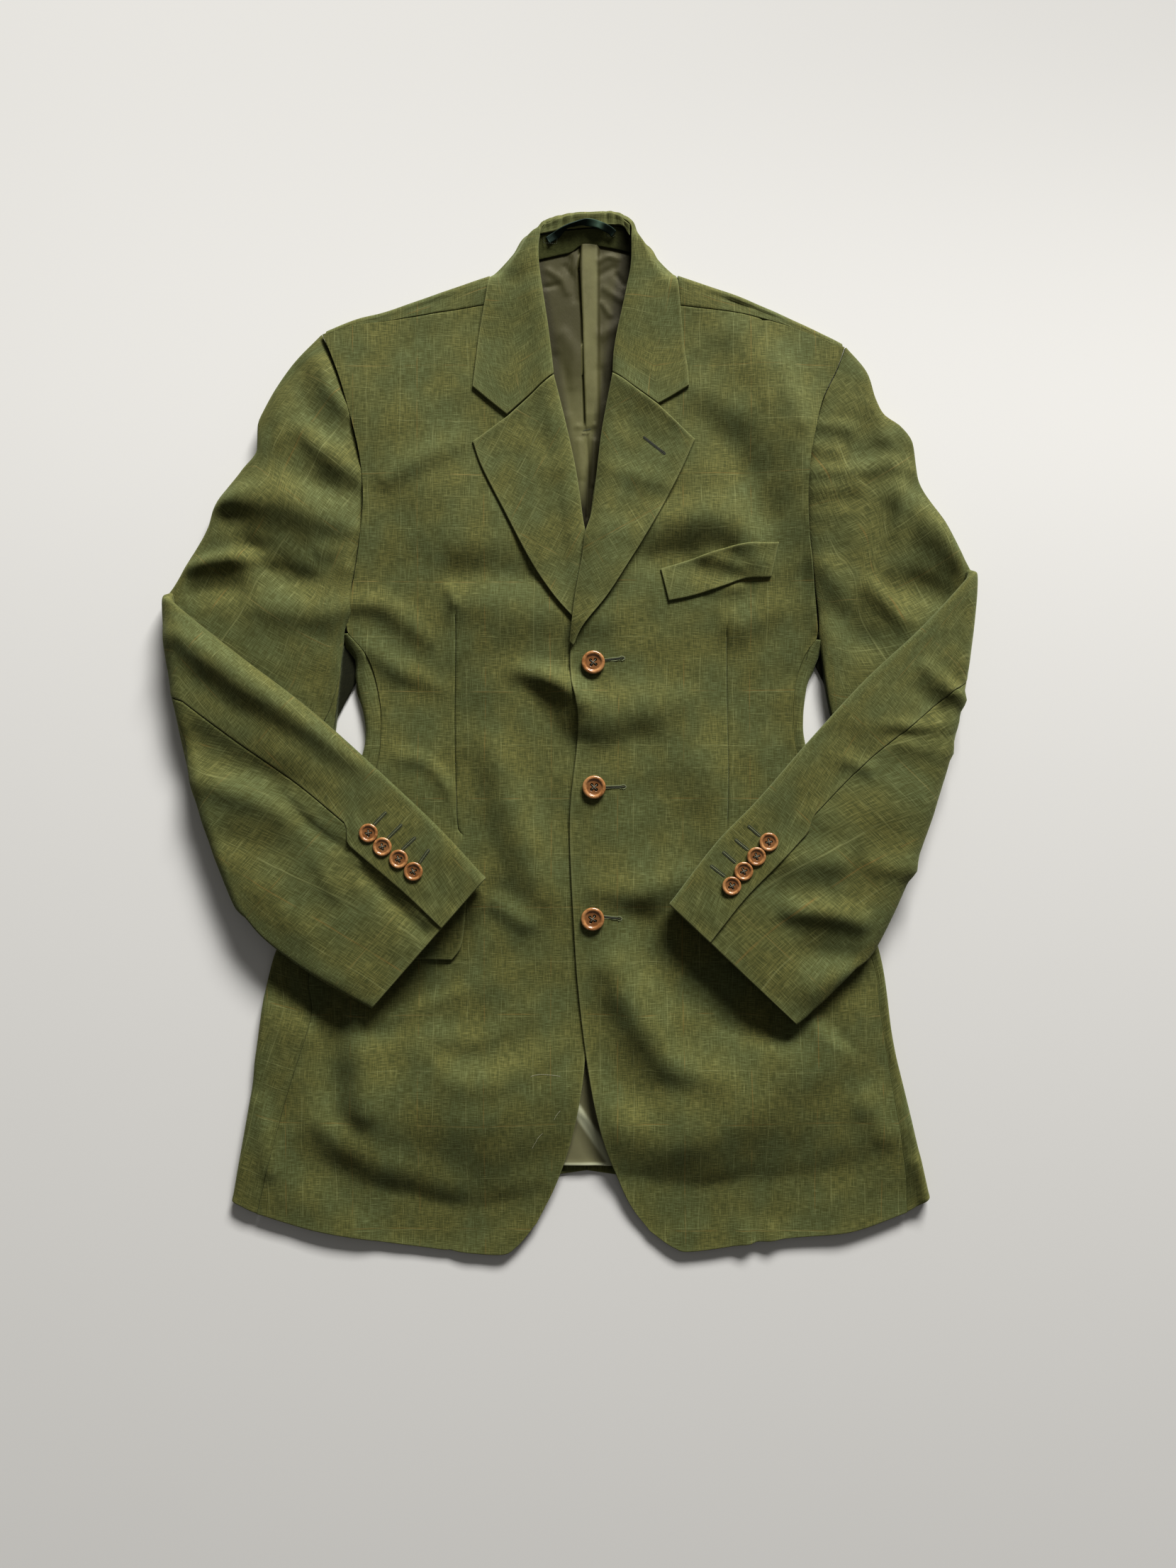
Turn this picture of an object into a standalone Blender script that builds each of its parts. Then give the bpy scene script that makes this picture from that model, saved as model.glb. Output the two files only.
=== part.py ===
"""A fitted three-button blazer, laid flat on its back with both sleeves folded in over the skirt.

Seen from above the collar points to +Y and the wearer's left side lies at +X.  The surface that
the blazer lies on is z = 0.  Tables and helpers work in millimetres; meshes are made in metres.
Every cloth piece is a wall: a grid of middle-surface points that Solidify makes thick.
"""
import math

import bmesh
import bpy
from mathutils import Vector

MM = 0.001

# ---- driving dimensions, mm ----------------------------------------------------------------
CLOTH = 1.6              # shell cloth with its interlining
THIN = 1.0               # lining, loop
SEAM_GAP = 0.3           # between pieces that are sewn together
LAYER = 2.1              # middle of one cloth to the middle of the cloth that lies on it
BACK_Z = CLOTH / 2       # the back lies flat on the surface
LINING_Z = CLOTH + 0.3 + THIN / 2
BODY_Z = 7.0             # middle of the fronts, along the centre of the body
SIDE_Z = 8.6             # the same where the body folds round at its sides
CENTRE_X = 12.0          # centre back seam
SIDE_FOLD = 4.0          # reach of the round fold at a side edge
CHEST_EASE = (150.0, 235.0)   # half widths between which a front rises to SIDE_Z
OVERLAP = (30.0, 64.0)   # x where the upper front comes down beside the lower one
CROSSING = (155.0, 215.0)     # y where the upper front stops lying on the lower one
LAPEL_CROSSING = (70.0, 95.0)  # y above which the lower lapel lies between the two fronts
FRONT_BUTTON = 19.0      # diameter, 30 line
CUFF_BUTTON = 15.2       # diameter, 24 line
BOX_MIDDLE = (1.08, 0.91)      # middle of the whole blazer in the plan of the tables below

OLIVE = (0.095, 0.104, 0.036)
DARK_OLIVE = (0.020, 0.024, 0.009)
LINING_TAN = (0.180, 0.175, 0.095)
HORN = (0.456, 0.171, 0.053)

# ---- outlines, mm: each is a short list of (x, y) that a smooth curve runs through ---------
# Wearer's right half (-X), which lies under the left half at the front edge.
RIGHT = dict(
    side=-1,
    shoulder_fold=[(-67, 374), (-85, 368), (-119, 356), (-155, 344), (-177, 338), (-200, 328)],
    shoulder_seam=[(-70, 350), (-129, 340), (-179, 332), (-200.5, 323.5)],
    armhole=[(-203, 325), (-195, 306), (-186, 280), (-174, 233), (-170, 193), (-174, 149), (-185, 87)],
    front_side=[(-183, 83), (-168, 66), (-161, 48), (-156, 21), (-156, -2), (-159, -26), (-177, -95),
                (-212, -186), (-213, -231), (-225, -272), (-237, -312), (-257, -391)],
    edge=[(-186, 83), (-173, 66), (-172, 45), (-170, 21), (-168, -2), (-174, -26), (-201, -95),
          (-243, -182), (-257, -257), (-261, -291), (-274, -365), (-277, -381)],
    back_side=[(-178, 128), (-150, 92), (-122, 62), (-110, 30), (-106, 0), (-110, -30), (-130, -95),
               (-160, -182), (-172, -240), (-180, -280), (-192, -345), (-198, -385)],
    hem=[(-257, -391), (-205, -406), (-121, -419), (-63, -425), (-46, -419), (-29, -399)],
    front_edge=[(-29, -399), (-14, -369), (-1, -332), (8, -288), (12, -250), (20, -190), (25, -150),
                (27, -43), (26, 40), (18, 107), (9, 175), (-5, 250), (-16, 294), (-24, 340)],
    neck=[(-24, 340), (-46, 347), (-70, 350)],
    back_neck=[(12, 391), (-8, 389), (-30, 382), (-50, 374), (-68, 370)],
)
# Wearer's left half (+X), which lies on top.
LEFT = dict(
    side=1,
    shoulder_fold=[(86, 374), (111, 365.5), (135, 357), (175, 340), (207, 325), (220, 318)],
    shoulder_seam=[(88.5, 349), (133, 343), (179, 331), (220.5, 313.5)],
    armhole=[(222, 315), (215, 296), (204, 273), (197, 247), (192, 218), (191, 175), (196, 123), (200, 81)],
    front_side=[(199, 78), (190, 65), (183, 46), (180, 22), (181, 0), (183, -14), (198, -72),
                (243, -181), (250, -224), (257, -266), (271, -353), (273, -390)],
    edge=[(201, 78), (196, 64), (191, 40), (188, 14), (190, -9), (204, -54), (230, -118),
          (251, -181), (261, -248), (270, -288), (286, -356), (291, -378)],
    back_side=[(195, 128), (172, 92), (148, 62), (138, 30), (135, 0), (138, -30), (156, -85),
               (184, -160), (196, -230), (204, -280), (214, -340), (220, -383)],
    hem=[(273, -390), (227, -406), (170, -412), (101, -422), (83, -419), (64, -406)],
    front_edge=[(64, -406), (48, -385), (36, -359), (23, -322), (13, -274), (5, -210), (1, -152),
                (-2, -69), (5, 8), (-1, 46), (-1, 72), (6, 115), (13, 164), (20, 215), (28, 264),
                (33, 294), (40, 340)],
    neck=[(40, 340), (64, 346), (88.5, 349)],
    back_neck=[(12, 391), (32, 389), (52, 383), (72, 375), (87, 370)],
)

# Each row of a sleeve is a ring across it, from the armhole over the elbow fold to the cuff: its
# outer and inner ends, how much of the armhole's bow it has (its own bow in mm where negative),
# mid and half height at the outer and at the inner end, and how far it has turned, degrees.
RIGHT_SLEEVE = [
    # outer x, y, inner x, y,   bow, outer mid, half, inner mid, half, turn
    (-203.8, 325.6, -186.0, 86.6, 1.0, 4.2, 3.4, 4.2, 3.4, 0),
    (-230, 298, -187, 72, 0.85, 6.4, 5.6, 5.4, 4.6, 0),
    (-256, 254, -189, 52, 0.60, 7.0, 6.2, 5.8, 5.0, 0),
    (-262, 224, -191, 28, 0.40, 6.8, 6.0, 5.6, 4.8, 0),
    (-292, 181, -195, -4, 0.20, 6.0, 5.2, 5.2, 4.4, 0),
    (-311, 142, -214, -60, 0.00, 5.4, 4.6, 5.0, 4.2, 0),
    (-322, 107, -260, -138, -11.0, 5.2, 4.4, 5.0, 4.2, 0),
    (-326, 108, -264, -137, -11.5, 7.2, 4.5, 7.0, 4.3, 45),
    (-328, 108, -266, -137, -11.5, 11.8, 4.7, 11.7, 4.6, 90),
    (-326, 107, -264, -138, -11.5, 16.4, 4.9, 16.4, 4.9, 135),
    (-321, 103, -259, -142, -10.0, 18.4, 5.1, 18.4, 5.1, 180),
    (-273, 65, -244, -157, -6.0, 18.5, 5.3, 18.5, 5.3, 180),
    (-215, 22, -222, -176, -2.0, 18.5, 5.3, 18.4, 5.2, 180),
    (-149, -37, -199, -194, 0.0, 18.3, 5.1, 18.3, 5.1, 180),
    (-104, -80, -178, -209, 0.0, 18.2, 5.0, 18.2, 5.0, 180),
    (-70, -117, -160, -220, 0.0, 18.2, 5.0, 18.2, 5.0, 180),
]
LEFT_SLEEVE = [
    (223.8, 315.6, 201.6, 83.0, 1.0, 4.2, 3.4, 4.2, 3.4, 0),
    (245, 284, 204.5, 62, 0.85, 6.4, 5.6, 5.4, 4.6, 0),
    (262, 253, 206.5, 44, 0.60, 7.0, 6.2, 5.8, 5.0, 0),
    (281, 210, 210, 24, 0.40, 6.8, 6.0, 5.6, 4.8, 0),
    (303, 172, 216, -2, 0.20, 6.0, 5.2, 5.2, 4.4, 0),
    (315, 151, 226, -60, -10.0, 5.4, 4.6, 5.0, 4.2, 0),
    (321, 140, 243, -115, -20.0, 5.2, 4.4, 5.0, 4.2, 0),
    (322, 134, 258, -150, -26.0, 5.2, 4.4, 5.0, 4.2, 0),
    (326, 133, 256, -161, -26.0, 7.2, 4.5, 9.4, 3.7, 45),
    (328, 132, 250, -173, -26.0, 11.8, 4.7, 14.2, 3.1, 90),
    (326, 130, 242, -184, -26.0, 16.4, 4.9, 17.0, 3.9, 135),
    (321, 125, 233, -191, -25.0, 18.4, 5.1, 18.4, 4.8, 180),
    (285, 88, 225, -197, -14.0, 18.5, 5.3, 18.5, 5.3, 180),
    (238, 44, 213, -206, -6.0, 18.5, 5.3, 18.4, 5.2, 180),
    (190, -8, 201, -215, -2.0, 18.3, 5.1, 18.3, 5.1, 180),
    (150, -54, 193, -222, 0.0, 18.2, 5.0, 18.2, 5.0, 180),
    (118, -87, 187, -228, 0.0, 18.2, 5.0, 18.2, 5.0, 180),
    (79, -138, 180, -233, 0.0, 18.2, 5.0, 18.2, 5.0, 180),
]
BACK_SEAM = 0.711               # where round the ring the back seam runs
FRONT_SEAM = [0, 0, 0.03, 0.09, 0.15]  # the front seam, row by row: along the inner edge, then up
SLEEVE_GAP = 1.4                # between top and under sleeve along a ring, mm
SECTION_POWER = 8               # how square the flattened section is
RING_STEPS = 10                 # section steps on each face of a flattened sleeve
RING_FEEL = 0.01                # reach along the ring that gives its direction

# The collar, from the wearer's right end round the neck to the left end: roll edge, bend
# (the notch at the two ends), outer edge, and the height that its outer edge drops to
# (0 where it stays on top, negative where it turns under behind the neck).
COLLAR = [
    # roll x, y, bend x, y, outer x, y,  drop to
    (-15, 293.6, -53, 259.6, -81, 282, 0),
    (-17, 312, -50, 289, -79, 299, 0),
    (-20, 336, -49, 321, -76, 325, 0),
    (-24, 362, -48, 352, -71, 353, 0),
    (-26, 376, -48, 369, -68, 369, 0),
    (-27, 386, -46, 381, -63, 377, 1.4),
    (-27, 399, -38, 396, -49, 392, 1.4),
    (-25, 409, -30, 409, -36, 408, 1.4),
    (-20, 415, -14, 405, -8, 396, -1),
    (-1, 420, -1, 410, 0, 400, -1),
    (17, 421, 17, 411, 16, 401, -1),
    (35, 421, 34, 411, 33, 401, -1),
    (47, 414, 41, 405, 35, 397, -1),
    (48, 403, 55, 402, 61, 400, 1.4),
    (48, 388, 60, 389, 71, 388, 1.4),
    (47, 377, 64, 378, 82, 377, 1.4),
    (45, 367, 66, 367, 86, 369, 0),
    (42, 352, 66, 349, 88, 351, 0),
    (37, 330, 66, 319, 91, 318, 0),
    (34, 312, 67, 291, 94, 299, 0),
    (33, 294.6, 70, 268.6, 95, 283, 0),
]

# Lapels: foot, gorge and top edge, roll line and outer edge, the lines from the foot up.
LAPELS = dict(
    right=dict(foot=[(13, 104), (4, 92)],
               top=[(-15, 292.6), (-53, 258.4), (-81, 238)],
               roll=[(13, 104), (12.5, 140), (11, 164), (9, 175), (3, 216), (-6, 257), (-15, 292.6)],
               outer=[(4, 92), (-15, 113), (-35, 143), (-53, 177), (-73, 216), (-81, 238)]),
    left=dict(foot=[(-2, 75), (1, 72)],
              top=[(33, 293.6), (70, 267.4), (100, 240)],
              roll=[(-2, 75), (2, 110), (8, 143), (11, 164), (17, 186), (24, 246), (33, 293.6)],
              outer=[(1, 72), (9, 88), (29, 113), (47, 141), (68, 175), (87, 211), (100, 240)]),
)

# The chest welt and the pocket flap, from the end nearer the side seam or the chest.
WELT = dict(low=[(78.5, 108.5), (100, 113), (124, 120.6), (142, 126.6), (161.5, 127.5)],
            high=[(72, 135), (96, 142.5), (120, 150), (142, 154.6), (168, 156)])
FLAP = dict(low=[(-190, -179), (-140, -182), (-98, -184)],
            high=[(-190, -123), (-140, -125), (-85, -127)],
            end=[(-98, -184), (-91, -174), (-88, -158), (-85, -127)])

# What the neck opening shows: lower edge of the stand, lower edge of the facing.
STAND_TOP = [(-20, 413.5), (-1, 418.5), (17, 419.5), (35, 419.5), (46, 412.8)]
STAND_FOOT = [(-27, 406.5), (-3, 410.5), (20, 412.5), (40, 413.5), (47, 405)]
FACING_TOP = [(-28, 405.9), (-3, 410.1), (20, 412.1), (39, 413), (47, 404.4)]
FACING_FOOT = [(-31, 387), (-13, 391), (-1, 394), (9, 400), (28, 398), (50, 393)]
STAND_Z = (9.8, 6.6)
FACING_Z = (6.5, 3.6)
LOOP_PATH = [(-20, 402), (-13, 406), (-2, 413), (8, 416), (21, 416), (31, 412), (34, 406)]
LOOP_Z = [7.4, 9.2, 10.6, 11.4, 11.4, 10.5, 7.3]
LOOP_WIDTH = 6.0

# The lining strip that shows at the neck and at the hem, with its box pleat, by height y.
LINING = [
    # y, left edge x, pleat left x, pleat right x, right edge x, pleat stands by
    (-352, -30, 8, 22, 58, 0.0),
    (-180, -30, 9, 21, 56, 0.0),
    (0, -28, 10, 20, 54, 0.0),
    (180, -28, 11, 20, 52, 0.0),
    (248, -28, 11.5, 19.5, 52, 0.0),
    (262, -28, 11.0, 19.8, 52, 1.5),
    (300, -29, 9.7, 20, 52, 1.5),
    (340, -30, 8.8, 20, 52, 1.5),
    (376, -31, 6.4, 20, 52, 1.5),
    (392, -32, 7.6, 19.8, 51, 1.5),
]

FRONT_BUTTONS = [(17.2, 58.3), (17.9, -43.0), (16.7, -150.0)]
RIGHT_CUFF_BUTTONS = [(-162.5, -79.6), (-151.4, -90.6), (-138.4, -100.4), (-126.6, -110.3)]
LEFT_CUFF_BUTTONS = [(157.5, -86.8), (147.6, -98.4), (137.4, -110.2), (127.8, -121.9)]


# ---- curves and grids ----------------------------------------------------------------------
def smooth(t):
    """Ease from 0 to 1."""
    t = min(1.0, max(0.0, t))
    return t * t * (3 - 2 * t)


def ramp(value, span):
    return smooth((value - span[0]) / (span[1] - span[0]))


def through(points, steps=8):
    """A dense smooth line through the points (Catmull-Rom)."""
    pts = [Vector(p) for p in points]
    pts = [pts[0] * 2 - pts[1]] + pts + [pts[-1] * 2 - pts[-2]]
    line = []
    for a, b, c, d in zip(pts, pts[1:], pts[2:], pts[3:]):
        for i in range(steps):
            t = i / steps
            line.append(0.5 * (2 * b + (c - a) * t + (2 * a - 5 * b + 4 * c - d) * t * t
                               + (3 * b - a - 3 * c + d) * t ** 3))
    return line + [pts[-2]]


def along(points, fractions, smoothed=True):
    """Points of the curve at these fractions of its length."""
    line = through(points) if smoothed else [Vector(p) for p in points]
    reach = [0.0]
    for a, b in zip(line, line[1:]):
        reach.append(reach[-1] + (b - a).length)
    found = []
    for f in fractions:
        want = f * reach[-1]
        k = next((i for i in range(1, len(reach)) if reach[i] >= want - 1e-9), len(reach) - 1)
        span = reach[k] - reach[k - 1]
        t = (want - reach[k - 1]) / span if span else 0.0
        found.append(line[k - 1].lerp(line[k], t))
    return found


def even(count):
    return [i / count for i in range(count + 1)]


def patch(low, high, start, end):
    """Coons patch: rows from low to high, columns from start to end, as lists of plan points."""
    rows, columns = len(start), len(low)
    grid = []
    for r in range(rows):
        v = r / (rows - 1)
        line = []
        for c in range(columns):
            u = c / (columns - 1)
            ruled = low[c] * (1 - v) + high[c] * v + start[r] * (1 - u) + end[r] * u
            corner = ((low[0] * (1 - u) + low[-1] * u) * (1 - v)
                      + (high[0] * (1 - u) + high[-1] * u) * v)
            line.append(ruled - corner)
        grid.append(line)
    return grid


def pull_in(grid, gap=SEAM_GAP / 2):
    """Move a grid's border points inwards by half of the seam gap."""
    def step(point, inner):
        away = inner - point
        return point + away * min(0.4, gap / max(away.length, 1e-6))
    rows = [[step(row[0], row[1])] + row[1:-1] + [step(row[-1], row[-2])] for row in grid]
    first = [step(p, q) for p, q in zip(rows[0], rows[1])]
    last = [step(p, q) for p, q in zip(rows[-1], rows[-2])]
    return [first] + rows[1:-1] + [last]


def raised(grid, height):
    """Give a plan grid its height, a function of x and y."""
    return [[Vector((p.x, p.y, height(p.x, p.y))) for p in row] for row in grid]


# ---- heights -------------------------------------------------------------------------------
def body_z(x, y=0.0):
    """Middle of a front that lies on nothing but the back."""
    return BODY_Z + (SIDE_Z - BODY_Z) * ramp(abs(x - CENTRE_X), CHEST_EASE)


def upper_front_z(x, y):
    """Middle of the wearer's left front, which rises over the right front and its lapel."""
    under = 1 - ramp(x, OVERLAP)
    over_front = 1 - ramp(y, CROSSING)
    over_lapel = ramp(y, LAPEL_CROSSING)
    return body_z(x) + LAYER * under * over_front * (1 + over_lapel)


def on(height, layers=1.0):
    """A height for what lies on something else."""
    return lambda x, y: height(x, y) + LAYER * layers


# ---- making solids -------------------------------------------------------------------------
def material(name, colour, roughness, metallic=0.0):
    made = bpy.data.materials.new(name)
    made.use_nodes = True
    shader = made.node_tree.nodes["Principled BSDF"]
    shader.inputs["Base Color"].default_value = (*colour, 1.0)
    shader.inputs["Roughness"].default_value = roughness
    shader.inputs["Metallic"].default_value = metallic
    return made


def place(name, mesh, finish):
    """Put a piece in the scene, under the empty that carries the whole blazer."""
    mesh.materials.append(finish)
    piece = bpy.data.objects.new(name, mesh)
    piece.parent = bpy.data.objects["blazer"]
    bpy.context.scene.collection.objects.link(piece)
    return piece


def wall(name, grids, finish, thickness=CLOTH):
    """A cloth piece: grids of middle points in mm that share their edges, made thick."""
    index, points, faces = {}, [], []
    for grid in grids:
        numbers = []
        for row in grid:
            line = []
            for p in row:
                key = tuple(round(v, 4) for v in p)
                if key not in index:
                    index[key] = len(points)
                    points.append(tuple(p * MM))
                line.append(index[key])
            numbers.append(line)
        for low, high in zip(numbers, numbers[1:]):
            for k in range(len(low) - 1):
                faces.append((low[k], low[k + 1], high[k + 1], high[k]))
    mesh = bpy.data.meshes.new(name)
    mesh.from_pydata(points, [], faces)
    mesh.shade_smooth()
    piece = place(name, mesh, finish)
    thick = piece.modifiers.new("cloth", "SOLIDIFY")
    thick.thickness = thickness * MM
    thick.offset = 0.0
    return piece


def shell(name, outside, inside, finish):
    """A cloth piece from its outer and inner faces, as grids of the same size."""
    shape = bmesh.new()
    sheets = [[[shape.verts.new(p * MM) for p in row] for row in grid] for grid in (outside, inside)]
    rows, columns = len(outside), len(outside[0])
    for r in range(rows - 1):
        for c in range(columns - 1):
            for sheet in sheets:
                shape.faces.new((sheet[r][c], sheet[r][c + 1], sheet[r + 1][c + 1], sheet[r + 1][c]))
    rim = ([(0, c) for c in range(columns)] + [(r, columns - 1) for r in range(1, rows)]
           + [(rows - 1, c) for c in range(columns - 2, -1, -1)] + [(r, 0) for r in range(rows - 2, 0, -1)])
    for (r, c), (s, d) in zip(rim, rim[1:] + rim[:1]):
        shape.faces.new((sheets[0][r][c], sheets[0][s][d], sheets[1][s][d], sheets[1][r][c]))
    bmesh.ops.recalc_face_normals(shape, faces=shape.faces[:])
    mesh = bpy.data.meshes.new(name)
    shape.to_mesh(mesh)
    shape.free()
    mesh.shade_smooth()
    return place(name, mesh, finish)


# ---- body ----------------------------------------------------------------------------------
SEAM_ROWS = 12           # rows down a side seam
ARM_ROWS = 7             # rows beside an armhole
FRONT_COLUMNS = 8
NECK_COLUMNS = 3
FOLD_TURNS = (90, 55, 20, -20, -55, -90)
FOLD_SHARE = 0.8         # of a narrow strip that its fold may take
PANEL_CLEAR = 1.2        # side panel's top end, below the sleeve
UNDERARM_CLEAR = 12.0    # lowest armhole point that the back uses, over its side seam
BACK_HEM = [(0, -357), (105, -372)]   # away from the centre back seam


def front(name, half, height, finish):
    """One front: hem, front edge and roll line, neck and shoulder seam, armhole, side seam."""
    side = along(half["front_side"], even(SEAM_ROWS))[::-1]
    arm = along(half["armhole"], even(ARM_ROWS))[::-1]
    outer = side + arm[1:]
    inner = along(half["front_edge"], even(len(outer) - 1))
    low = along(half["hem"], even(FRONT_COLUMNS))
    shoulder = along(half["shoulder_seam"], even(FRONT_COLUMNS - NECK_COLUMNS))[::-1]
    neck = along(half["neck"], even(NECK_COLUMNS))[::-1]
    outer[-1] = shoulder[0]
    plan = pull_in(patch(low, shoulder + neck[1:], outer, inner))
    return wall(name, [raised(plan, height)], finish)


def round_edge(edge, out, inward, reach, high):
    """Points round the fold at an edge of the body, from the top cloth down to the back."""
    mid, rise = (high + BACK_Z) / 2, (high - BACK_Z) / 2
    line = []
    for turn in FOLD_TURNS:
        angle = math.radians(turn)
        away = out if turn > 0 else -inward
        plan = edge - away * reach * (1 - math.cos(angle))
        line.append(Vector((*plan, mid + rise * math.sin(angle))))
    return line


def side_body(name, half, finish):
    """The side panel: from the front seam on top, round the body's edge, to the back seam."""
    rows = even(SEAM_ROWS)
    grid = []
    for top, edge, under in zip(along(half["front_side"], rows), along(half["edge"], rows),
                                along(half["back_side"], rows)):
        out = (edge - top).normalized()
        inward = (under - edge).normalized()
        reach = min(SIDE_FOLD, (edge - top).length * FOLD_SHARE)
        high = body_z(top.x)
        start = top + out * SEAM_GAP / 2
        stop = under - inward * SEAM_GAP / 2
        foot = edge + inward * reach
        line = [Vector((*start, high))] + round_edge(edge, out, inward, reach, high)
        line += [Vector((*foot.lerp(stop, 0.5), BACK_Z)), Vector((*stop, BACK_Z))]
        grid.append(line)
    grid[0] = [p.lerp(q, PANEL_CLEAR / SEAM_ROWS) for p, q in zip(grid[0], grid[1])]
    return wall(name, [grid], finish)


def back(name, half, finish):
    """One back: flat underneath, folded over the shoulder to the forward shoulder seam."""
    shoulder_columns = FRONT_COLUMNS - NECK_COLUMNS
    arm_top = [p for p in half["armhole"] if p[1] > half["back_side"][0][1] + UNDERARM_CLEAR]
    arm = along(arm_top + [half["back_side"][0]], even(ARM_ROWS - 2))[::-1]
    outer = along(half["back_side"], even(SEAM_ROWS))[::-1] + arm[1:]
    hem = [(CENTRE_X + half["side"] * x, y) for x, y in BACK_HEM] + [half["back_side"][-1]]
    inner = along([hem[0], half["back_neck"][0]], even(len(outer) - 1), smoothed=False)
    low = along(hem, even(FRONT_COLUMNS))
    fold = along(half["shoulder_fold"], even(shoulder_columns))
    seam = along(half["shoulder_seam"], even(shoulder_columns))
    outs = [(p - q).normalized() for p, q in zip(fold, seam)]
    reaches = [min(SIDE_FOLD, (p - q).length * FOLD_SHARE) for p, q in zip(fold, seam)]
    feet = [p - out * reach for p, out, reach in zip(fold, outs, reaches)]
    neck = along(half["back_neck"], even(NECK_COLUMNS))
    neck[-1] = feet[0]
    outer[-1] = feet[-1]
    flat = raised(pull_in(patch(low, neck + feet[1:], inner, outer)), lambda x, y: BACK_Z)
    flat[-1][NECK_COLUMNS:] = [Vector((*p, BACK_Z)) for p in feet]
    over = []
    for p, q, out, reach in zip(fold, seam, outs, reaches):
        high = body_z(q.x)
        line = round_edge(p, out, -out, reach, high)[::-1]
        over.append(line + [Vector((*(q + out * SEAM_GAP), high))])
    over = [list(row) for row in zip(*over)]
    over[0] = flat[-1][NECK_COLUMNS:]
    return wall(name, [flat, over], finish)


# ---- sleeves -------------------------------------------------------------------------------
def ring_point(row, bend, f):
    """A middle-surface point at fraction f round a flattened sleeve, from its inner edge over
    the face that is up at the shoulder."""
    outer, inner = Vector(row[0:2]), Vector(row[2:4])
    bow, turn = row[4], math.radians(row[9])
    chord = outer - inner
    normal = Vector((chord.y, -chord.x)).normalized()
    if normal.x * outer.x < 0:
        normal = -normal
    angle = 2 * math.pi * f
    across = (1 - math.cos(angle)) / 2
    mid = row[7] + (row[5] - row[7]) * across
    half = row[8] + (row[6] - row[8]) * across
    flat = (1 - abs(math.cos(angle)) ** SECTION_POWER) ** (1 / SECTION_POWER)
    rise = half * math.copysign(flat, math.sin(angle))
    plan = inner + chord * across - normal * rise * math.sin(turn)
    if bow > 0:
        plan = plan + bend(across) * bow
    else:
        plan = plan - normal * bow * 4 * across * (1 - across)
    return Vector((*plan, mid + rise * math.cos(turn)))


def armhole_bend(half):
    """How far the armhole stands off its chord, by the fraction across from the inner end."""
    line = along(half["armhole"], even(40))[::-1]

    def bend(across):
        f = min(1.0, max(0.0, across)) * 40
        k = min(39, int(f))
        return line[k].lerp(line[k + 1], f - k) - line[0].lerp(line[-1], across)
    return bend


def seam_ease(row, bend, f):
    """Half of the sleeve's seam gap at f, as a fraction of the ring."""
    narrow, wide = 0.0, 0.02
    for _ in range(40):
        ease = (narrow + wide) / 2
        if (ring_point(row, bend, f + ease) - ring_point(row, bend, f - ease)).length < SLEEVE_GAP:
            narrow = ease
        else:
            wide = ease
    return wide


def sleeve_faces(rows, bend, turn_way, ends, count):
    """Outer and inner face of a sleeve piece whose ring runs between two fractions a row."""
    outside, inside = [], []
    for i, (row, (start, stop)) in enumerate(zip(rows, ends)):
        before, after = rows[max(i - 1, 0)], rows[min(i + 1, len(rows) - 1)]
        start, stop = start + seam_ease(row, bend, start), stop - seam_ease(row, bend, stop)
        lines = [], []
        for k in range(count + 1):
            f = start + (stop - start) * k / count
            point = ring_point(row, bend, f)
            round_it = ring_point(row, bend, f + RING_FEEL) - ring_point(row, bend, f - RING_FEEL)
            down_it = ring_point(after, bend, f) - ring_point(before, bend, f)
            normal = round_it.cross(down_it).normalized() * turn_way
            for line, sign in zip(lines, (1, -1)):
                line.append(point + normal * sign * CLOTH / 2)
        outside.append(lines[0])
        inside.append(lines[1])
    return outside, inside


def sleeve(side, half, rows, finish):
    """Top sleeve and under sleeve: one flattened tube, divided at its two seams."""
    bend = armhole_bend(half)
    front = [FRONT_SEAM[min(i, len(FRONT_SEAM) - 1)] for i in range(len(rows))]
    top = [(f, BACK_SEAM) for f in front]
    under = [(BACK_SEAM, f + 1) for f in front]
    for name, ends in (("top_sleeve_", top), ("under_sleeve_", under)):
        start, stop = ends[-1]
        count = round((stop - start) * 2 * RING_STEPS)
        shell(name + side, *sleeve_faces(rows, bend, half["side"], ends, count), finish)


# ---- collar, lapels, neck ------------------------------------------------------------------
COLLAR_COLUMNS = 5
NECK_TURNS = (0, 50, 90, 130, 180)
DROP_START = 0.55               # across the collar, where its outer part begins to drop
LEFT_LAPEL_LAYERS = 1.2         # its roll stands a little over the front
ROLL_RISE = 2.6                 # how far the collar's roll edge stands over its outer edge
ROLL_START = (295.0, 350.0)     # y where that rise begins and is full
NECK_ROLL_Z = 10.4              # top of the roll behind the neck
NECK_ROLL_REACH = 4.0


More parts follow.
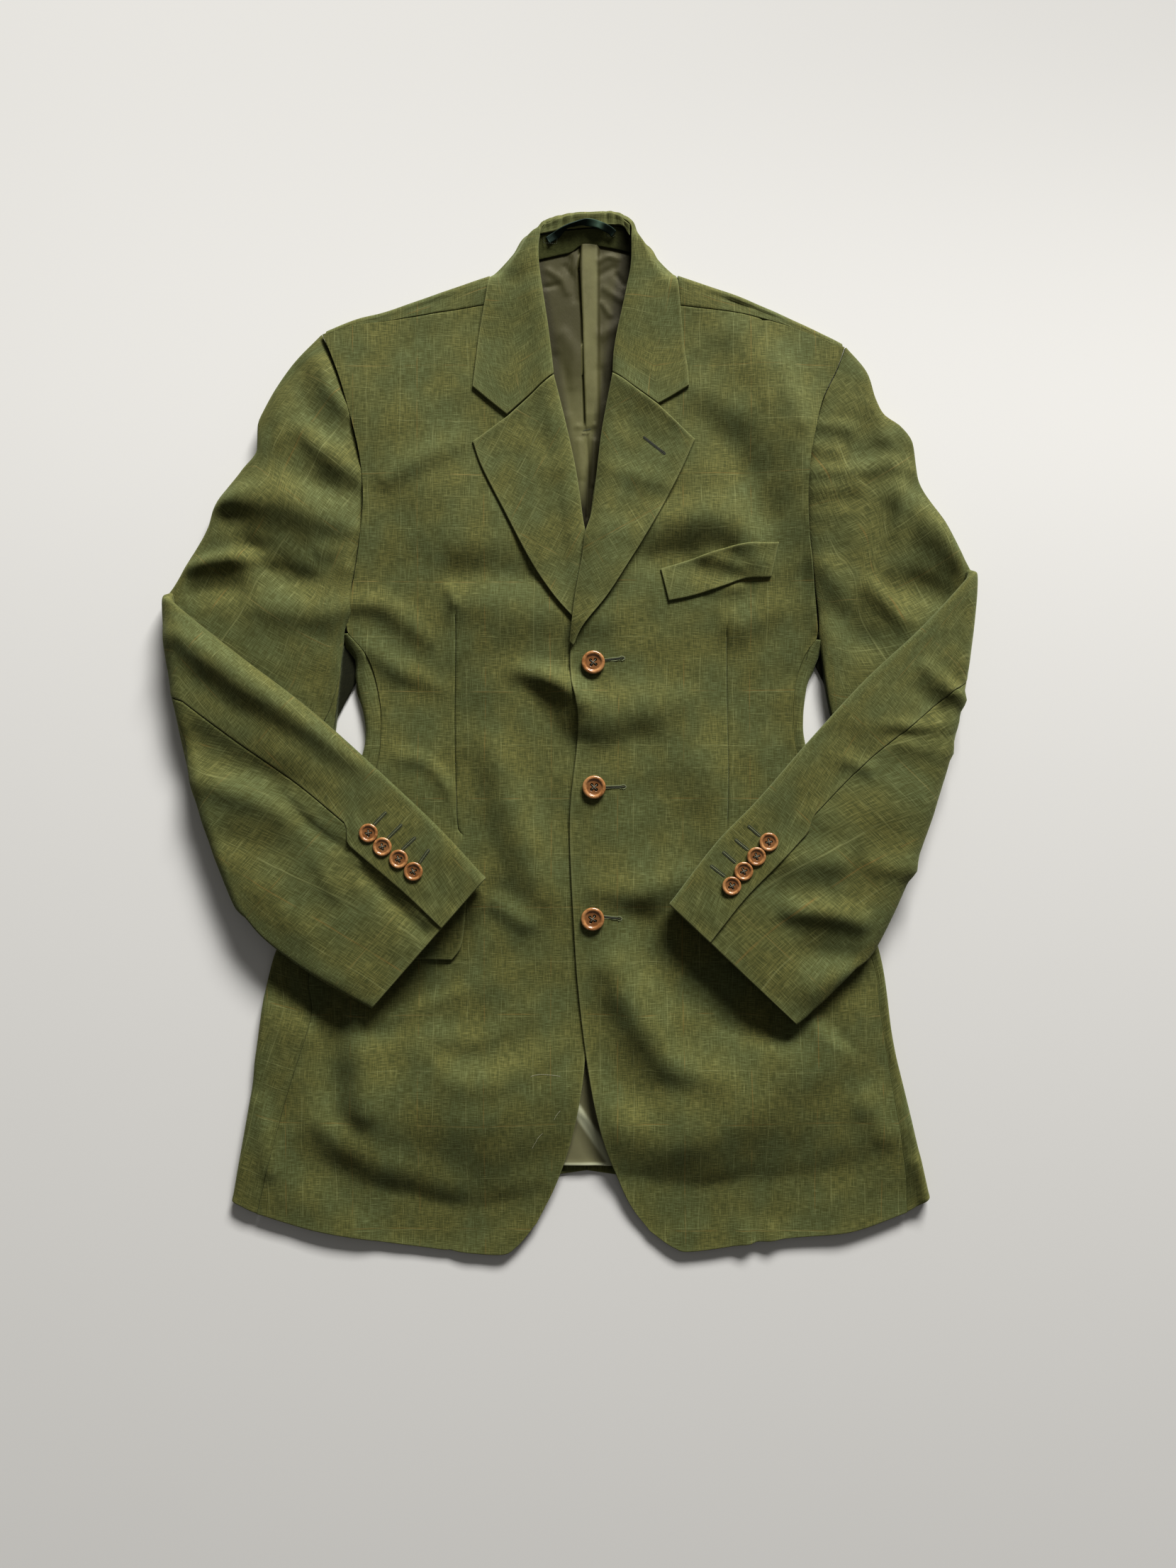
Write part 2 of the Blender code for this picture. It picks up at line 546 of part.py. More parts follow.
def collar_row(row):
    """One line across the collar, from its roll edge to its outer edge."""
    roll, bend, outer = (Vector(row[i:i + 2]) for i in (0, 2, 4))
    drop_to = row[6]
    line = []
    if drop_to < 0:
        inward = (outer - roll).normalized()
        nose = roll - inward * NECK_ROLL_REACH
        mid, rise = (NECK_ROLL_Z + BACK_Z) / 2, (NECK_ROLL_Z - BACK_Z) / 2
        for turn in NECK_TURNS:
            angle = math.radians(turn)
            plan = nose + inward * NECK_ROLL_REACH * (1 - math.sin(angle))
            line.append(Vector((*plan, mid + rise * math.cos(angle))))
        return line + [Vector((*outer, BACK_Z))]
    for f in even(COLLAR_COLUMNS):
        p = along([roll, bend, outer], [f], smoothed=False)[0]
        top = body_z(p.x) + LAYER + ROLL_RISE * ramp(p.y, ROLL_START) * (1 - f) ** 2
        if drop_to:
            top += (drop_to - top) * ramp(f, (DROP_START, 1))
        line.append(Vector((*p, top)))
    return line


def collar(finish):
    """The collar's fall: on top at both sides, turned under behind the neck."""
    return wall("collar", [[collar_row(row) for row in COLLAR]], finish)


def panel(name, edges, height, finish, rows, columns):
    """A piece that lies on another: its low, high, start and end edges, and its height."""
    low, high, start, end = edges
    plan = patch(along(low, even(columns), False), along(high, even(columns), False),
                 along(start, even(rows)), along(end, even(rows)))
    return wall(name, [raised(pull_in(plan), height)], finish)


def lapel(side, height, finish):
    shape = LAPELS[side]
    edges = shape["foot"], shape["top"], shape["roll"], shape["outer"]
    return panel("lapel_" + side, edges, height, finish, rows=9, columns=4)


def sloped_band(name, top, foot, heights, finish, thickness, columns=8):
    """A band between two lines, its middle falling from one height to the other."""
    upper, lower = along(top, even(columns)), along(foot, even(columns))
    grid = []
    for t in even(3):
        z = heights[0] + (heights[1] - heights[0]) * t
        grid.append([Vector((*p.lerp(q, t), z)) for p, q in zip(upper, lower)])
    return wall(name, [grid], finish, thickness)


def hanger_loop(finish):
    """A flat ribbon whose ends are sewn on the facing."""
    path = [Vector((*p, z)) for p, z in zip(LOOP_PATH, LOOP_Z)]
    line = through(path, 3)
    grid = []
    for k, p in enumerate(line):
        ahead = line[min(k + 1, len(line) - 1)] - line[max(k - 1, 0)]
        across = Vector((-ahead.y, ahead.x, 0)).normalized() * LOOP_WIDTH / 2
        grid.append([p + across, p - across])
    return wall("hanger_loop", [grid], finish, THIN)


PLEAT_STEP = 0.6         # half of the width in which the pleat's edge rises
LINING_CLEAR = 1.5       # top of the lining, below the facing


def lining(finish):
    """The back lining along the centre, its box pleat standing up under the neck."""
    foot = through(FACING_FOOT)
    grid = []
    for y, left, pleat_left, pleat_right, right, stands in LINING:
        line = []
        for x, up in ((left, 0), ((left + pleat_left) / 2, 0),
                      (pleat_left - PLEAT_STEP, 0), (pleat_left + PLEAT_STEP, 1),
                      (pleat_right - PLEAT_STEP, 1), (pleat_right + PLEAT_STEP, 0),
                      ((pleat_right + right) / 2, 0), (right, 0)):
            at = y
            if y == LINING[-1][0]:
                at = min(foot, key=lambda p: abs(p.x - x)).y - LINING_CLEAR
            line.append(Vector((x, at, LINING_Z + stands * up)))
        grid.append(line)
    return wall("back_lining", [grid[::-1]], finish, THIN)


# ---- buttons -------------------------------------------------------------------------------
BUTTON_SIDES = 16
# reach and rise as fractions of the button's radius and thickness
BUTTON_PROFILE = [(0.72, 0.0), (0.97, 0.35), (1.0, 0.65), (0.90, 1.0), (0.74, 0.98), (0.60, 0.68)]
BUTTON_THICKNESS = 0.17         # of the diameter
HOLE_OUT = 0.17                 # of the radius, each way from the middle
HOLE_SIZE = 0.10


def loop_of(shape, x, y, z, reach, sides):
    return [shape.verts.new((x + math.cos(2 * math.pi * k / sides) * reach,
                             y + math.sin(2 * math.pi * k / sides) * reach, z)) for k in range(sides)]


def button(name, x, y, z, diameter, finish):
    """A turned button with a raised rim, a dished middle and four holes."""
    radius = diameter / 2 * MM
    thickness = diameter * BUTTON_THICKNESS * MM
    shape = bmesh.new()
    loops = [loop_of(shape, 0, 0, rise * thickness, reach * radius, BUTTON_SIDES)
             for reach, rise in BUTTON_PROFILE]
    for a, b in zip(loops, loops[1:]):
        for k in range(BUTTON_SIDES):
            n = (k + 1) % BUTTON_SIDES
            shape.faces.new((a[k], a[n], b[n], b[k]))
    shape.faces.new(loops[0][::-1])
    shape.faces.new(loops[-1])
    mesh = bpy.data.meshes.new(name)
    shape.to_mesh(mesh)
    shape.free()
    piece = place(name, mesh, finish)
    piece.location = Vector((x, y, z)) * MM
    holes = bmesh.new()
    for across in (-1, 1):
        for up in (-1, 1):
            centre = across * HOLE_OUT * radius, up * HOLE_OUT * radius
            low = loop_of(holes, *centre, -thickness, HOLE_SIZE * radius, 6)
            high = loop_of(holes, *centre, 2 * thickness, HOLE_SIZE * radius, 6)
            for k in range(6):
                n = (k + 1) % 6
                holes.faces.new((low[k], low[n], high[n], high[k]))
            holes.faces.new(low[::-1])
            holes.faces.new(high)
    cutter_mesh = bpy.data.meshes.new(name + "_holes")
    holes.to_mesh(cutter_mesh)
    holes.free()
    cutter = place(name + "_holes", cutter_mesh, finish)
    cutter.location = piece.location
    cutter.hide_render = True
    cutter.display_type = "WIRE"
    cut = piece.modifiers.new("holes", "BOOLEAN")
    cut.operation = "DIFFERENCE"
    cut.object = cutter
    return piece


def main():
    for old in list(bpy.data.objects):
        bpy.data.objects.remove(old, do_unlink=True)
    blazer = bpy.data.objects.new("blazer", None)
    blazer.location = (-BOX_MIDDLE[0] * MM, -BOX_MIDDLE[1] * MM, 0)
    bpy.context.scene.collection.objects.link(blazer)
    cloth = material("olive cloth", OLIVE, 0.85)
    satin = material("dark green satin", DARK_OLIVE, 0.35)
    tan = material("tan lining", LINING_TAN, 0.40)
    horn = material("tan horn", HORN, 0.30)

    back("back_right", RIGHT, cloth)
    back("back_left", LEFT, cloth)
    side_body("side_right", RIGHT, cloth)
    side_body("side_left", LEFT, cloth)
    front("front_right", RIGHT, body_z, cloth)
    front("front_left", LEFT, upper_front_z, cloth)
    lapel("right", on(body_z), cloth)
    lapel("left", on(upper_front_z, LEFT_LAPEL_LAYERS), cloth)
    collar(cloth)
    sloped_band("collar_stand", STAND_TOP, STAND_FOOT, STAND_Z, cloth, CLOTH)
    sloped_band("neck_facing", FACING_TOP, FACING_FOOT, FACING_Z, cloth, THIN)
    hanger_loop(satin)
    lining(tan)
    sleeve("right", RIGHT, RIGHT_SLEEVE, cloth)
    sleeve("left", LEFT, LEFT_SLEEVE, cloth)

    welt_ends = [WELT["low"][0], WELT["high"][0]], [WELT["low"][-1], WELT["high"][-1]]
    panel("chest_welt", (WELT["low"], WELT["high"], *welt_ends), on(upper_front_z), cloth, 2, 6)
    flap_start = [FLAP["low"][0], FLAP["high"][0]]
    panel("pocket_flap", (FLAP["low"], FLAP["high"], flap_start, FLAP["end"]), on(body_z), cloth, 5, 6)

    on_cloth = CLOTH / 2 + SEAM_GAP
    for k, (x, y) in enumerate(FRONT_BUTTONS):
        button(f"front_button_{k + 1}", x, y, upper_front_z(x, y) + on_cloth, FRONT_BUTTON, horn)
    cuff_top = RIGHT_SLEEVE[-1][5] + RIGHT_SLEEVE[-1][6] + on_cloth
    for side, places in (("right", RIGHT_CUFF_BUTTONS), ("left", LEFT_CUFF_BUTTONS)):
        for k, (x, y) in enumerate(places):
            button(f"cuff_button_{side}_{k + 1}", x, y, cuff_top, CUFF_BUTTON, horn)


main()
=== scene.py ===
# %% [markdown]
# # A blazer laid flat
# The blazer is built as a maker builds it: fronts with darts, side panels, backs that fold over
# the shoulders, lapels and a collar that roll over, two-piece sleeves, a lining, and buttons.
# Each piece of cloth is one thin closed wall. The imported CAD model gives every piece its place,
# and this script gives it its folds, its weave and its stitches.

# %% Load the frame
import math

import bpy
import numpy as np
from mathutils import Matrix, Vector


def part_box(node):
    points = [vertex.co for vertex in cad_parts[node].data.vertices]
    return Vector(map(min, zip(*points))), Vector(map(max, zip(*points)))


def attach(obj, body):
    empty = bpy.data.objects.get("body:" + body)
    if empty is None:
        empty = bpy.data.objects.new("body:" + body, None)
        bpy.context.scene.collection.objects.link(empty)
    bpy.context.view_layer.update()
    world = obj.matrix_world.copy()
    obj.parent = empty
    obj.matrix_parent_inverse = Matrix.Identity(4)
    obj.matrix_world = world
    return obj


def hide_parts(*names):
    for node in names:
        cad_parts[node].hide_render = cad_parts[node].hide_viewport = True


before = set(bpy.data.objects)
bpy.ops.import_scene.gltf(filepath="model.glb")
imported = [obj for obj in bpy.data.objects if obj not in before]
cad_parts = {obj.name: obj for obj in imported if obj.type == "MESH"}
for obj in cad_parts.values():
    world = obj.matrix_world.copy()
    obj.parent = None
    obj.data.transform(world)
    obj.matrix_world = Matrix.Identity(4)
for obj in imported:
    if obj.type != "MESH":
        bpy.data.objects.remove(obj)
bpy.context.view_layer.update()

MM = 0.001
PLAN_MIDDLE = np.array([1.08, 0.91, 0.0])  # middle of the blazer in the tables' plan

# %% [markdown]
# ## Curves through given points
# A cutter draws a pattern with a few points and a bent ruler. A Catmull-Rom curve does the same:
# it runs through every point, so a short list is enough. Lengths are in mm unless another unit
# is named, with +Y towards the collar and +X towards the wearer's left side.

# %% Curves


def smooth(t):
    """Ease from 0 to 1."""
    t = np.clip(t, 0.0, 1.0)
    return t * t * (3 - 2 * t)


def ramp(value, span):
    return smooth((value - span[0]) / (span[1] - span[0]))


def bell(distance, width):
    return np.exp(-(distance / width) ** 2)


def through(points, steps=12):
    """A smooth line through the points, for any number of columns."""
    p = np.asarray(points, float)
    p = np.vstack((2 * p[0] - p[1], p, 2 * p[-1] - p[-2]))
    t = np.linspace(0, 1, steps, endpoint=False)[:, None]
    spans = [0.5 * (2 * b + (c - a) * t + (2 * a - 5 * b + 4 * c - d) * t ** 2
                    + (3 * b - a - 3 * c + d) * t ** 3)
             for a, b, c, d in zip(p, p[1:], p[2:], p[3:])]
    return np.vstack(spans + [p[-2:-1]])


def even(count):
    """Evenly spaced fractions from 0 to 1."""
    return np.linspace(0, 1, count)


def reach_along(line):
    """Distance of each point of a line from its first one."""
    return np.concatenate(([0.0], np.cumsum(np.linalg.norm(np.diff(line, axis=0), axis=1))))


def along(line, fractions):
    """Points of a dense line at these fractions of its length."""
    reach = reach_along(line)
    at = np.asarray(fractions) * reach[-1]
    return np.stack([np.interp(at, reach, column) for column in line.T], axis=1)


def split_at(line, point):
    """A dense line in two parts that meet at the point."""
    k = int(np.argmin(np.linalg.norm(line - point, axis=1)))
    return np.vstack((line[:k], point)), np.vstack((point, line[k + 1:]))


def unit(vectors):
    size = np.linalg.norm(vectors, axis=-1, keepdims=True)
    return vectors / np.maximum(size, 1e-9)


EDGE_STEPS = np.array([0.0, 1.4, 2.6, 4.2, 6.5, 9.0])  # grid lines beside an edge
STEP = 3.0  # grid lines elsewhere


def spread(length, step=STEP, edge=EDGE_STEPS):
    """Fractions along a length: close together at both ends, where the cloth turns."""
    if length < 2.5 * edge[-1]:
        return np.linspace(0, 1, max(5, round(length / 1.5)))
    count = max(1, round((length - 2 * edge[-1]) / step))
    middle = np.linspace(edge[-1], length - edge[-1], count + 1)
    return np.concatenate((edge, middle[1:-1], (length - edge)[::-1])) / length


def patch(low, high, start, end, u, v):
    """Coons patch between four lines: rows from low to high, columns from start to end."""
    u, v = u[None, :, None], v[:, None, None]
    low, high, start, end = low[None], high[None], start[:, None], end[:, None]
    ruled = low * (1 - v) + high * v + start * (1 - u) + end * u
    corner = ((low[:, :1] * (1 - u) + low[:, -1:] * u) * (1 - v)
              + (high[:, :1] * (1 - u) + high[:, -1:] * u) * v)
    return ruled - corner


def filled(low, high, start, end, u=None, v=None):
    """A plan grid inside four dense lines."""
    u = spread(max(reach_along(low)[-1], reach_along(high)[-1])) if u is None else u
    v = spread(max(reach_along(start)[-1], reach_along(end)[-1])) if v is None else v
    return patch(along(low, u), along(high, u), along(start, v), along(end, v), u, v)


def with_height(plan, height):
    return np.dstack((plan, height(plan[..., 0], plan[..., 1])))


print("a test line has", len(through([(0, 0), (10, 5), (20, 0)])), "points")

# %% [markdown]
# ## The pattern
# These outlines are those of the CAD model, because the visible cloth has to lie where the
# solids are; only the darts are added. `right` is the wearer's right half, which lies under the
# left half at the front.

# %% Outlines, mm
CLOTH = 1.6  # shell cloth with its interlining
THIN = 1.0  # lining and loop
SEAM_GAP = 0.3  # between pieces that are sewn together or lie on each other
LAYER = 2.1  # middle of one cloth to the middle of the cloth that lies on it
BACK_Z = CLOTH / 2
LINING_Z = CLOTH + SEAM_GAP + THIN / 2
BODY_Z = 7.0  # middle of the fronts, along the centre of the body
SIDE_Z = 8.6  # the same where the body folds round at its sides
CENTRE_X = 12.0  # centre back seam
SIDE_FOLD = 4.0  # reach of the round fold at a side edge
FOLD_SHARE = 0.8  # of a narrow strip that its fold may take
CHEST_EASE = (150.0, 235.0)
OVERLAP = (30.0, 64.0)  # x where the upper front comes down beside the lower one
CROSSING = (155.0, 215.0)
LAPEL_CROSSING = (70.0, 95.0)

RIGHT = dict(
    side=-1,
    shoulder_fold=[(-67, 374), (-85, 368), (-119, 356), (-155, 344), (-177, 338), (-200, 328)],
    shoulder_seam=[(-70, 350), (-129, 340), (-179, 332), (-200.5, 323.5)],
    armhole=[(-203, 325), (-195, 306), (-186, 280), (-174, 233), (-170, 193), (-174, 149), (-185, 87)],
    front_side=[(-183, 83), (-168, 66), (-161, 48), (-156, 21), (-156, -2), (-159, -26), (-177, -95),
                (-212, -186), (-213, -231), (-225, -272), (-237, -312), (-257, -391)],
    edge=[(-186, 83), (-173, 66), (-172, 45), (-170, 21), (-168, -2), (-174, -26), (-201, -95),
          (-243, -182), (-257, -257), (-261, -291), (-274, -365), (-277, -381)],
    back_side=[(-178, 128), (-150, 92), (-122, 62), (-110, 30), (-106, 0), (-110, -30), (-130, -95),
               (-160, -182), (-172, -240), (-180, -280), (-192, -345), (-198, -385)],
    hem=[(-257, -391), (-205, -406), (-121, -419), (-63, -425), (-46, -419), (-29, -399)],
    front_edge=[(-29, -399), (-14, -369), (-1, -332), (8, -288), (12, -250), (20, -190), (25, -150),
                (27, -43), (26, 40), (18, 107), (9, 175), (-5, 250), (-16, 294), (-24, 340)],
    neck=[(-24, 340), (-46, 347), (-70, 350)],
    back_neck=[(12, 391), (-8, 389), (-30, 382), (-50, 374), (-68, 370)],
    dart=[(-100, -421), (-98, -300), (-91, -160), (-89, -87), (-94, -72), (-96, 8), (-96, 115),
          (-110, 220), (-129, 340)],
    dart_ends=(-87, 115),
)
LEFT = dict(
    side=1,
    shoulder_fold=[(86, 374), (111, 365.5), (135, 357), (175, 340), (207, 325), (220, 318)],
    shoulder_seam=[(88.5, 349), (133, 343), (179, 331), (220.5, 313.5)],
    armhole=[(222, 315), (215, 296), (204, 273), (197, 247), (192, 218), (191, 175), (196, 123), (200, 81)],
    front_side=[(199, 78), (190, 65), (183, 46), (180, 22), (181, 0), (183, -14), (198, -72),
                (243, -181), (250, -224), (257, -266), (271, -353), (273, -390)],
    edge=[(201, 78), (196, 64), (191, 40), (188, 14), (190, -9), (204, -54), (230, -118),
          (251, -181), (261, -248), (270, -288), (286, -356), (291, -378)],
    back_side=[(195, 128), (172, 92), (148, 62), (138, 30), (135, 0), (138, -30), (156, -85),
               (184, -160), (196, -230), (204, -280), (214, -340), (220, -383)],
    hem=[(273, -390), (227, -406), (170, -412), (101, -422), (83, -419), (64, -406)],
    front_edge=[(64, -406), (48, -385), (36, -359), (23, -322), (13, -274), (5, -210), (1, -152),
                (-2, -69), (5, 8), (-1, 46), (-1, 72), (6, 115), (13, 164), (20, 215), (28, 264),
                (33, 294), (40, 340)],
    neck=[(40, 340), (64, 346), (88.5, 349)],
    back_neck=[(12, 391), (32, 389), (52, 383), (72, 375), (87, 370)],
    dart=[(150, -414), (141, -250), (127.5, -110), (126.5, -77), (127, -20), (126, 50), (126, 85),
          (128, 100), (138, 200), (155, 337)],
    dart_ends=(-77, 100),
)
print("front edge is", round(reach_along(through(LEFT["front_edge"]))[-1]), "mm long")

# %% [markdown]
# ## The camera
# The photograph was taken from straight above with a short lens, so the sleeves, which lie
# higher, look a little larger. A camera with the same field of view at the same height does
# that by itself. It is made early, so that every later cell can be judged in the same picture.

# %% Camera
IMAGE = (1659, 2212)  # the photograph's size in pixels
PIXEL = 0.577  # mm on the cloth for each pixel
PLAN_ORIGIN_PX = (807, 1036)  # pixel of the plan's origin
VERTICAL_VIEW = math.radians(67.3)
CLOTH_LEVEL = 8.0


def pixel_to_plan(px, py):
    return ((px - PLAN_ORIGIN_PX[0]) * PIXEL, (PLAN_ORIGIN_PX[1] - py) * PIXEL)


view_height = IMAGE[1] * PIXEL / 2 / math.tan(VERTICAL_VIEW / 2) + CLOTH_LEVEL
view_middle = pixel_to_plan(IMAGE[0] / 2, IMAGE[1] / 2)


def placed(name, data):
    """An object of this data in the scene, at the origin."""
    piece = bpy.data.objects.new(name, data)
    bpy.context.scene.collection.objects.link(piece)
    return piece


lens = bpy.data.cameras.new("camera")
lens.sensor_fit = "VERTICAL"
lens.angle = VERTICAL_VIEW
camera = placed("camera", lens)
camera.location = (np.array([*view_middle, view_height]) - PLAN_MIDDLE) * MM
bpy.context.scene.camera = camera
print("camera at", [round(v, 3) for v in camera.location])

# %% [markdown]
# ## Shader maths in plain Python
# A fabric needs dozens of Math nodes, and wiring them by hand hides the idea. `Value` wraps a
# socket, so `1 - mask * 0.5` adds the nodes by itself. `Finish.node` adds any other node.

# %% A small language for materials


class Value:
    """A shader socket that Python's operators can reckon with."""

    def __init__(self, finish, socket):
        self.finish, self.socket = finish, socket

    def maths(self, operation, *others):
        inputs = dict(enumerate((self, *others)))
        return self.finish.node("ShaderNodeMath", {"operation": operation}, inputs)

    def __add__(self, other):
        return self.maths("ADD", other)

    def __mul__(self, other):
        return self.maths("MULTIPLY", other)

    def __sub__(self, other):
        return self.maths("SUBTRACT", other)

    def __rsub__(self, other):
        return self.finish.node("ShaderNodeMath", {"operation": "SUBTRACT"}, {0: other, 1: self})

    __radd__, __rmul__ = __add__, __mul__

    def between(self, low, high, at_low=0.0, at_high=1.0):
        """Ease from at_low to at_high as the value goes from low to high."""
        return self.finish.node("ShaderNodeMapRange", {"interpolation_type": "SMOOTHSTEP"},
                                {"Value": self, "From Min": low, "From Max": high,
                                 "To Min": at_low, "To Max": at_high})


class Finish:
    """A material whose nodes are added from expressions."""

    def __init__(self, name):
        self.material = bpy.data.materials.new(name)
        self.material.use_nodes = True
        self.tree = self.material.node_tree
        self.shader = self.tree.nodes["Principled BSDF"]

    def connect(self, socket, value):
        if isinstance(value, Value):
            self.tree.links.new(value.socket, socket)
        else:
            socket.default_value = value

    def node(self, kind, settings=None, inputs=None, output=0):
        """Add a node: its settings first, then the values or links of its sockets."""
        made = self.tree.nodes.new(kind)
        for name, value in (settings or {}).items():
            setattr(made, name, value)
        for name, value in (inputs or {}).items():
            self.connect(made.inputs[name], value)
        return Value(self, made.outputs[output])

    def surface(self, **sockets):
        for name, value in sockets.items():
            self.connect(self.shader.inputs[name.replace("_", " ")], value)

    def mix(self, factor, first, second):
        made = self.tree.nodes.new("ShaderNodeMix")
        made.data_type = "RGBA"
        for name, value in ((0, factor), (6, first), (7, second)):
            self.connect(made.inputs[name], value)
        return Value(self, made.outputs[2])

    def grain(self, u, v, across, down, detail=2.0, roughness=0.5):
        """Noise in the cloth's plane, with grains of these sizes in mm."""
        where = self.node("ShaderNodeCombineXYZ", None, {0: u * (1 / across), 1: v * (1 / down)})
        return self.node("ShaderNodeTexNoise", {"noise_dimensions": "2D"},
                         {"Vector": where, "Scale": 1.0, "Detail": detail, "Roughness": roughness},
                         output="Fac")

    def bumped(self, height, strength, distance):
        return self.node("ShaderNodeBump", None,
                         {"Strength": strength, "Distance": distance, "Height": height})

    def mask(self, name):
        """A number that the mesh carries at each point."""
        return self.node("ShaderNodeAttribute", {"attribute_name": name}, output="Fac")

    def solid_noise(self, **inputs):
        """Noise through the object's own space."""
        place = self.node("ShaderNodeTexCoord", output="Object")
        return self.node("ShaderNodeTexNoise", None, {"Vector": place, **inputs}, output="Fac")

    def parts(self, point):
        """The first two coordinates of a point."""
        split = self.tree.nodes.new("ShaderNodeSeparateXYZ")
        self.connect(split.inputs[0], point)
        return Value(self, split.outputs[0]), Value(self, split.outputs[1])

    def cloth_plane(self):
        """The cut's own two directions, in mm."""
        u, v = self.parts(self.node("ShaderNodeUVMap", {"uv_map": "cloth"}))
        return u * 1000, v * 1000


print("materials are made by", Finish.__name__)

# %% [markdown]
# ## The shell cloth
# The cloth is a light plain weave of uneven olive yarns, a little like linen. Three things show:
# short dark and light streaks in both directions where a yarn is thick or thin, a very faint
# overcheck of single pale and rust threads, and broad soft changes of tone. All of it is
# reckoned from the flat cut, so that the grain turns with each piece as it does on the real one.
# A piece's points also carry two masks: turned edges are a little worn, and the narrow gap in an
# armpit gets painted shade, since hardly any light gets into it.

# %% Shell cloth
OLIVE_WARM = (0.138, 0.134, 0.042, 1)
OLIVE_COOL = (0.106, 0.123, 0.050, 1)
OLIVE_DEEP = (0.070, 0.075, 0.023, 1)
OLIVE_PALE = (0.240, 0.250, 0.110, 1)
RUST = (0.230, 0.150, 0.045, 1)
YARN = 0.68  # thickness of a streak
SLUB = 7.5  # its length
WEAVE = 0.62  # from one thread to the next
CHECK = (27.0, 44.0)  # overcheck spacing across and down
THREAD_LINE = 0.30  # half width of an overcheck thread
THREAD_DRIFT = 5.0  # how far such a thread wanders
THREAD_BREAKS = (60, 26)  # grain of the places where it dives under
PALE_STARTS = (4.0, 9.0, 27.0)  # first pale thread across, down, and a fainter one down
FAINTER = 0.6
RUST_STARTS = (17.0, 52.0)  # first rust thread across and down, at twice the spacing
BROAD_GRAIN, WANDER_GRAIN = (34, 46), (300, 80)
WEFT_TONE, WARP_TONE, MEAN_TONE = 2.6, 2.2, 0.66
SLUB_SHARE, PALE_SHARE, RUST_SHARE = 0.38, 0.40, 0.46  # how much of its colour each shows
WORN_SHARE = 0.30  # paler along turned edges
GAP_SHADE = (0.004, 0.005, 0.002, 1)
GAP_SHARE = 0.93  # how strongly shade is painted where a gap gets no light
WEAVE_BUMP, YARN_BUMP, THREAD_BUMP = 0.25, 0.9, 0.3


def overcheck(finish, position, other, spacing, offset, wander):
    """A mask for single threads at a spacing, broken up where the yarn dives under."""
    drift = (wander - 0.5) * THREAD_DRIFT
    local = (position + (offset + drift)).maths("PINGPONG", spacing / 2)
    line = local.between(0.0, THREAD_LINE * 2, 1.0, 0.0)
    broken = finish.grain(position, other, *THREAD_BREAKS).between(0.38, 0.66)
    return line * broken


def shell_cloth():
    finish = Finish("olive shell cloth")
    u, v = finish.cloth_plane()
    weft = finish.grain(u, v, SLUB, YARN)
    warp = finish.grain(u, v, YARN, SLUB * 1.5)
    broad = finish.grain(u, v, *BROAD_GRAIN)
    wander_u = finish.grain(u, v, *WANDER_GRAIN, detail=1.0)
    wander_v = finish.grain(u, v, *WANDER_GRAIN[::-1], detail=1.0)
    tone = (weft - 0.5) * WEFT_TONE + (warp - 0.5) * WARP_TONE + MEAN_TONE
    ground = finish.mix(broad.between(0.3, 0.7), OLIVE_COOL, OLIVE_WARM)
    ground = finish.mix(tone.between(0.0, 1.3), OLIVE_DEEP, ground)
    thick = weft.between(0.62, 0.84) + warp.between(0.64, 0.86)
    ground = finish.mix(thick * SLUB_SHARE, ground, OLIVE_PALE)
    pale = (overcheck(finish, u, v, CHECK[0], PALE_STARTS[0], wander_u)
            + overcheck(finish, v, u, CHECK[1], PALE_STARTS[1], wander_v)
            + overcheck(finish, v, u, CHECK[1], PALE_STARTS[2], wander_v) * FAINTER)
    rust = (overcheck(finish, u, v, CHECK[0] * 2, RUST_STARTS[0], wander_v)
            + overcheck(finish, v, u, CHECK[1] * 2, RUST_STARTS[1], wander_u))
    ground = finish.mix(pale * PALE_SHARE, ground, OLIVE_PALE)
    ground = finish.mix(rust * RUST_SHARE, ground, RUST)
    ground = finish.mix(finish.mask("edge") * WORN_SHARE, ground, OLIVE_PALE)
    # painted shade: the armpit gap's cloth is darkened to near-black, where hardly any light gets in
    ground = finish.mix(finish.mask("painted_gap_shade") * GAP_SHARE, ground, GAP_SHADE)
    over = (u * (math.tau / WEAVE)).maths("SINE") * (v * (math.tau / WEAVE)).maths("SINE")
    height = over * WEAVE_BUMP + (weft + warp) * YARN_BUMP + pale * THREAD_BUMP
    finish.surface(Base_Color=ground, Roughness=0.86, Normal=finish.bumped(height, 0.55, 0.00022),
                   Sheen_Weight=0.22, Sheen_Roughness=0.45, Sheen_Tint=(0.55, 0.62, 0.36, 1),
                   Specular_IOR_Level=0.22)
    return finish.material


CLOTH_FINISH = shell_cloth()
print(CLOTH_FINISH.name, "has", len(CLOTH_FINISH.node_tree.nodes), "nodes")
